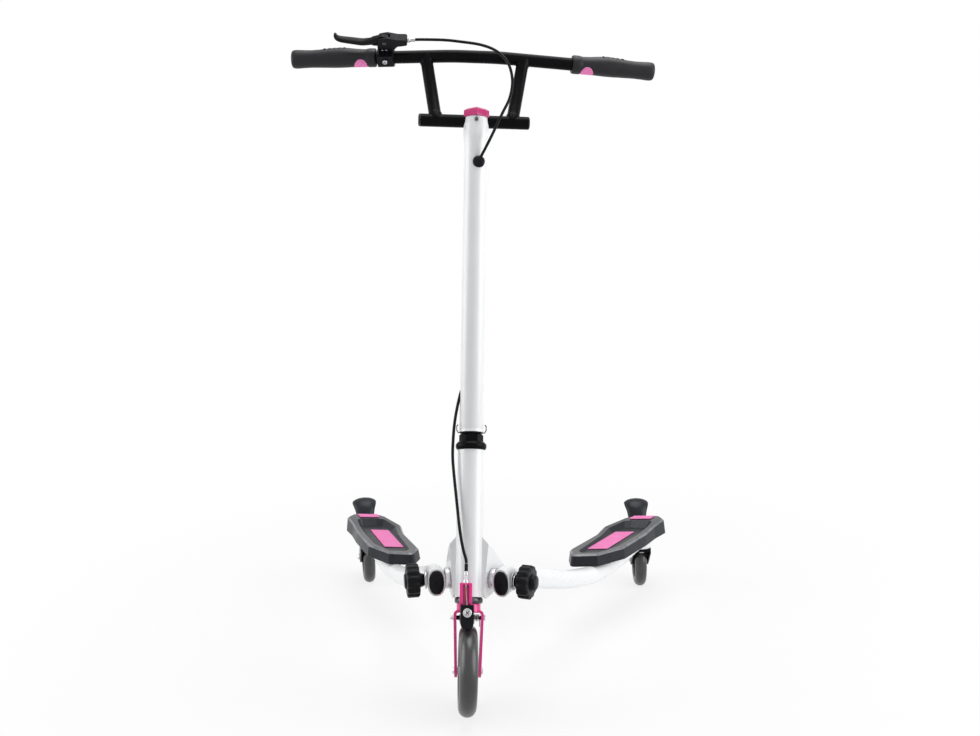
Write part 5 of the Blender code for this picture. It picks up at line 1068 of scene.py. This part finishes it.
def heel_panel():
    """Panel that rises from the mudguard behind the footboard and bends back, bowed across."""
    path = smooth_path(HEEL_PANEL, 5)
    rings = []
    for i, (y, z, wide, thick) in enumerate(path):
        before, after = neighbours(path, i)
        way = Vector((0, after[0] - before[0], after[1] - before[1])).normalized()
        normal = Vector((0, -way.z, way.y))
        ring = []
        for k in range(28):
            a = 2 * pi * k / 28
            flat = squared(cos(a), 0.6)
            bow = 0.005 * flat * flat * (wide / 0.025)
            ring.append(Vector((wide * flat, y, z)) + normal * (thick * sin(a) - bow))
        rings.append(ring)
    return skin(rings)


def make_mudguard(side):
    """Guard over the tyre with rolled edges, its heel panel and the lugs between the yoke's arms."""
    inner = REAR_RADIUS + 0.004
    outer = inner + 0.0025
    half = 0.0135
    section = ((-half - 0.001, outer - 0.006), (-half - 0.0008, outer - 0.003),
               (-half + 0.0004, outer - 0.001), (-half + 0.003, outer), (half - 0.003, outer),
               (half - 0.0004, outer - 0.001), (half + 0.0008, outer - 0.003), (half + 0.001, outer - 0.006),
               (half - 0.0012, outer - 0.006), (half - 0.0016, outer - 0.0036), (half - 0.004, inner),
               (-half + 0.004, inner), (-half + 0.0016, outer - 0.0036), (-half + 0.0012, outer - 0.006))
    shell = moved(swept_about_x(section, radians(118), radians(-8), 40), WHEEL_SPOT)
    lug = fillet(((0.029, 0.105), (0.029, 0.079), (0.036, 0.07), (0.044, 0.07), (0.044, 0.1105),
                  (0.038, 0.1095)), 0.002)
    lugs = [prism(lug, "X", *sorted((face * 0.0128, face * 0.0147))) for face in SIDES]
    on_side(side, "fender", merge(shell, heel_panel(), *lugs), caster_frame(side), "caster", "slate_plastic",
            "mudguard")


# Stage

def set_camera():
    cy, sy = cos(CAMERA_YAW), sin(CAMERA_YAW)
    cp, sp = cos(CAMERA_PITCH), sin(CAMERA_PITCH)
    ahead = Vector((-sy * cp, cy * cp, -sp))
    right = Vector((cy, sy, 0))
    up = right.cross(ahead)
    turn = Matrix.Rotation(CAMERA_ROLL, 3, ahead)
    right, up = turn @ right, turn @ up
    data = bpy.data.cameras.new("photo_camera")
    data.sensor_width = SENSOR_WIDTH
    data.lens = SENSOR_WIDTH * FOCAL_PIXELS / IMAGE_WIDTH
    camera = bpy.data.objects.new("photo_camera", data)
    camera.matrix_world = (Matrix.Translation(CAMERA_SPOT + Vector((0, FRONT_AXLE_Y, 0)))
                           @ Matrix((right, up, -ahead)).transposed().to_4x4())
    bpy.context.scene.collection.objects.link(camera)
    bpy.context.scene.camera = camera


def camera_share(tree):
    """1 for what the camera sees directly, in a mirror or through glass, 0 for light on the object."""
    path = tree.nodes.new("ShaderNodeLightPath")
    share = path.outputs["Is Camera Ray"]
    for kind in ("Is Glossy Ray", "Is Transmission Ray"):
        more = tree.nodes.new("ShaderNodeMath")
        more.operation = "MAXIMUM"
        tree.links.new(share, more.inputs[0])
        tree.links.new(path.outputs[kind], more.inputs[1])
        share = more.outputs[0]
    return share


def set_world():
    """White surround for the camera that lights the object less than it shows."""
    world = bpy.data.worlds.new("studio")
    bpy.context.scene.world = world
    world.use_nodes = True
    tree = world.node_tree
    back = tree.nodes["Background"]
    back.inputs["Color"].default_value = (1, 1, 1, 1)
    strength = map_range(tree, camera_share(tree), (0.0, 1.0), (SURROUND_LIGHT, 1.0))
    tree.links.new(strength.outputs["Result"], back.inputs["Strength"])


def floor_material():
    """White that takes the shadow near the object and turns into plain glow farther out."""
    made, shader = shader_of("floor_white", (0.9, 0.9, 0.9), 0.9, 0.0)
    tree = made.node_tree
    glow = tree.nodes.new("ShaderNodeEmission")
    glow.inputs["Color"].default_value = (1, 1, 1, 1)
    place_of = tree.nodes.new("ShaderNodeTexCoord")
    distance = tree.nodes.new("ShaderNodeVectorMath")
    distance.operation = "LENGTH"
    tree.links.new(place_of.outputs["Object"], distance.inputs[0])
    fade = map_range(tree, distance.outputs["Value"], FADE_REACH, (NEAR_WHITE, 1.0))
    fade.interpolation_type = "SMOOTHSTEP"
    share = tree.nodes.new("ShaderNodeMath")
    share.operation = "MULTIPLY"
    tree.links.new(fade.outputs["Result"], share.inputs[0])
    tree.links.new(camera_share(tree), share.inputs[1])
    mix = tree.nodes.new("ShaderNodeMixShader")
    tree.links.new(share.outputs[0], mix.inputs["Fac"])
    tree.links.new(shader.outputs[0], mix.inputs[1])
    tree.links.new(glow.outputs[0], mix.inputs[2])
    tree.links.new(mix.outputs[0], tree.nodes["Material Output"].inputs["Surface"])
    return made


def set_floor():
    bm = bmesh.new()
    bmesh.ops.create_circle(bm, cap_ends=True, segments=96, radius=FLOOR_RADIUS)
    mesh = bpy.data.meshes.new("floor")
    bm.to_mesh(mesh)
    bm.free()
    floor = bpy.data.objects.new("floor", mesh)
    bpy.context.scene.collection.objects.link(floor)
    mesh.materials.append(floor_material())


def add_lamp(name, spot, aim, size, power):
    data = bpy.data.lights.new(name, "AREA")
    data.shape = "DISK"
    data.size = size
    data.energy = power
    lamp = bpy.data.objects.new(name, data)
    lamp.location = spot
    lamp.rotation_mode = "QUATERNION"
    lamp.rotation_quaternion = (Vector(aim) - Vector(spot)).to_track_quat("-Z", "Y")
    bpy.context.scene.collection.objects.link(lamp)


def set_lamps():
    add_lamp("right_softbox", (2.4, -0.45, 1.1), (0, -0.1, 0.55), 2.2, 41)
    add_lamp("left_softbox", (-2.4, -0.4, 1.15), (0, -0.1, 0.55), 2.2, 37)
    add_lamp("overhead", (0.2, 0.3, 2.5), (0, 0, 0.2), 1.8, 30)


def main():
    slots = {entry["node"]: entry["material_slot"] for entry in frame["record"]["subparts"]}
    for name, node in frame["nodes"].items():
        node.data.materials.clear()
        node.data.materials.append(FINISHES[slots[name]])
    for make in (set_camera, make_cable, set_world, set_floor, set_lamps, make_stem, make_stem_cap,
                 make_head_tube, make_headset, make_fork, make_cable_bracket, make_brake_arm,
                 make_brake_pivot, make_front_axle, make_front_wheel, make_handlebar, make_grips, make_perch,
                 make_perch_screws, make_lever):
        make()
    for side in SIDES:
        for make in (make_grip_inlay, make_grip_bars, make_leg, make_footplate, make_pads, make_knob,
                     make_hinge, make_rear_wheel, make_caster_yoke, make_mudguard):
            make(side)
    bpy.context.scene.view_settings.view_transform = "Standard"
    bpy.context.view_layer.update()


main()
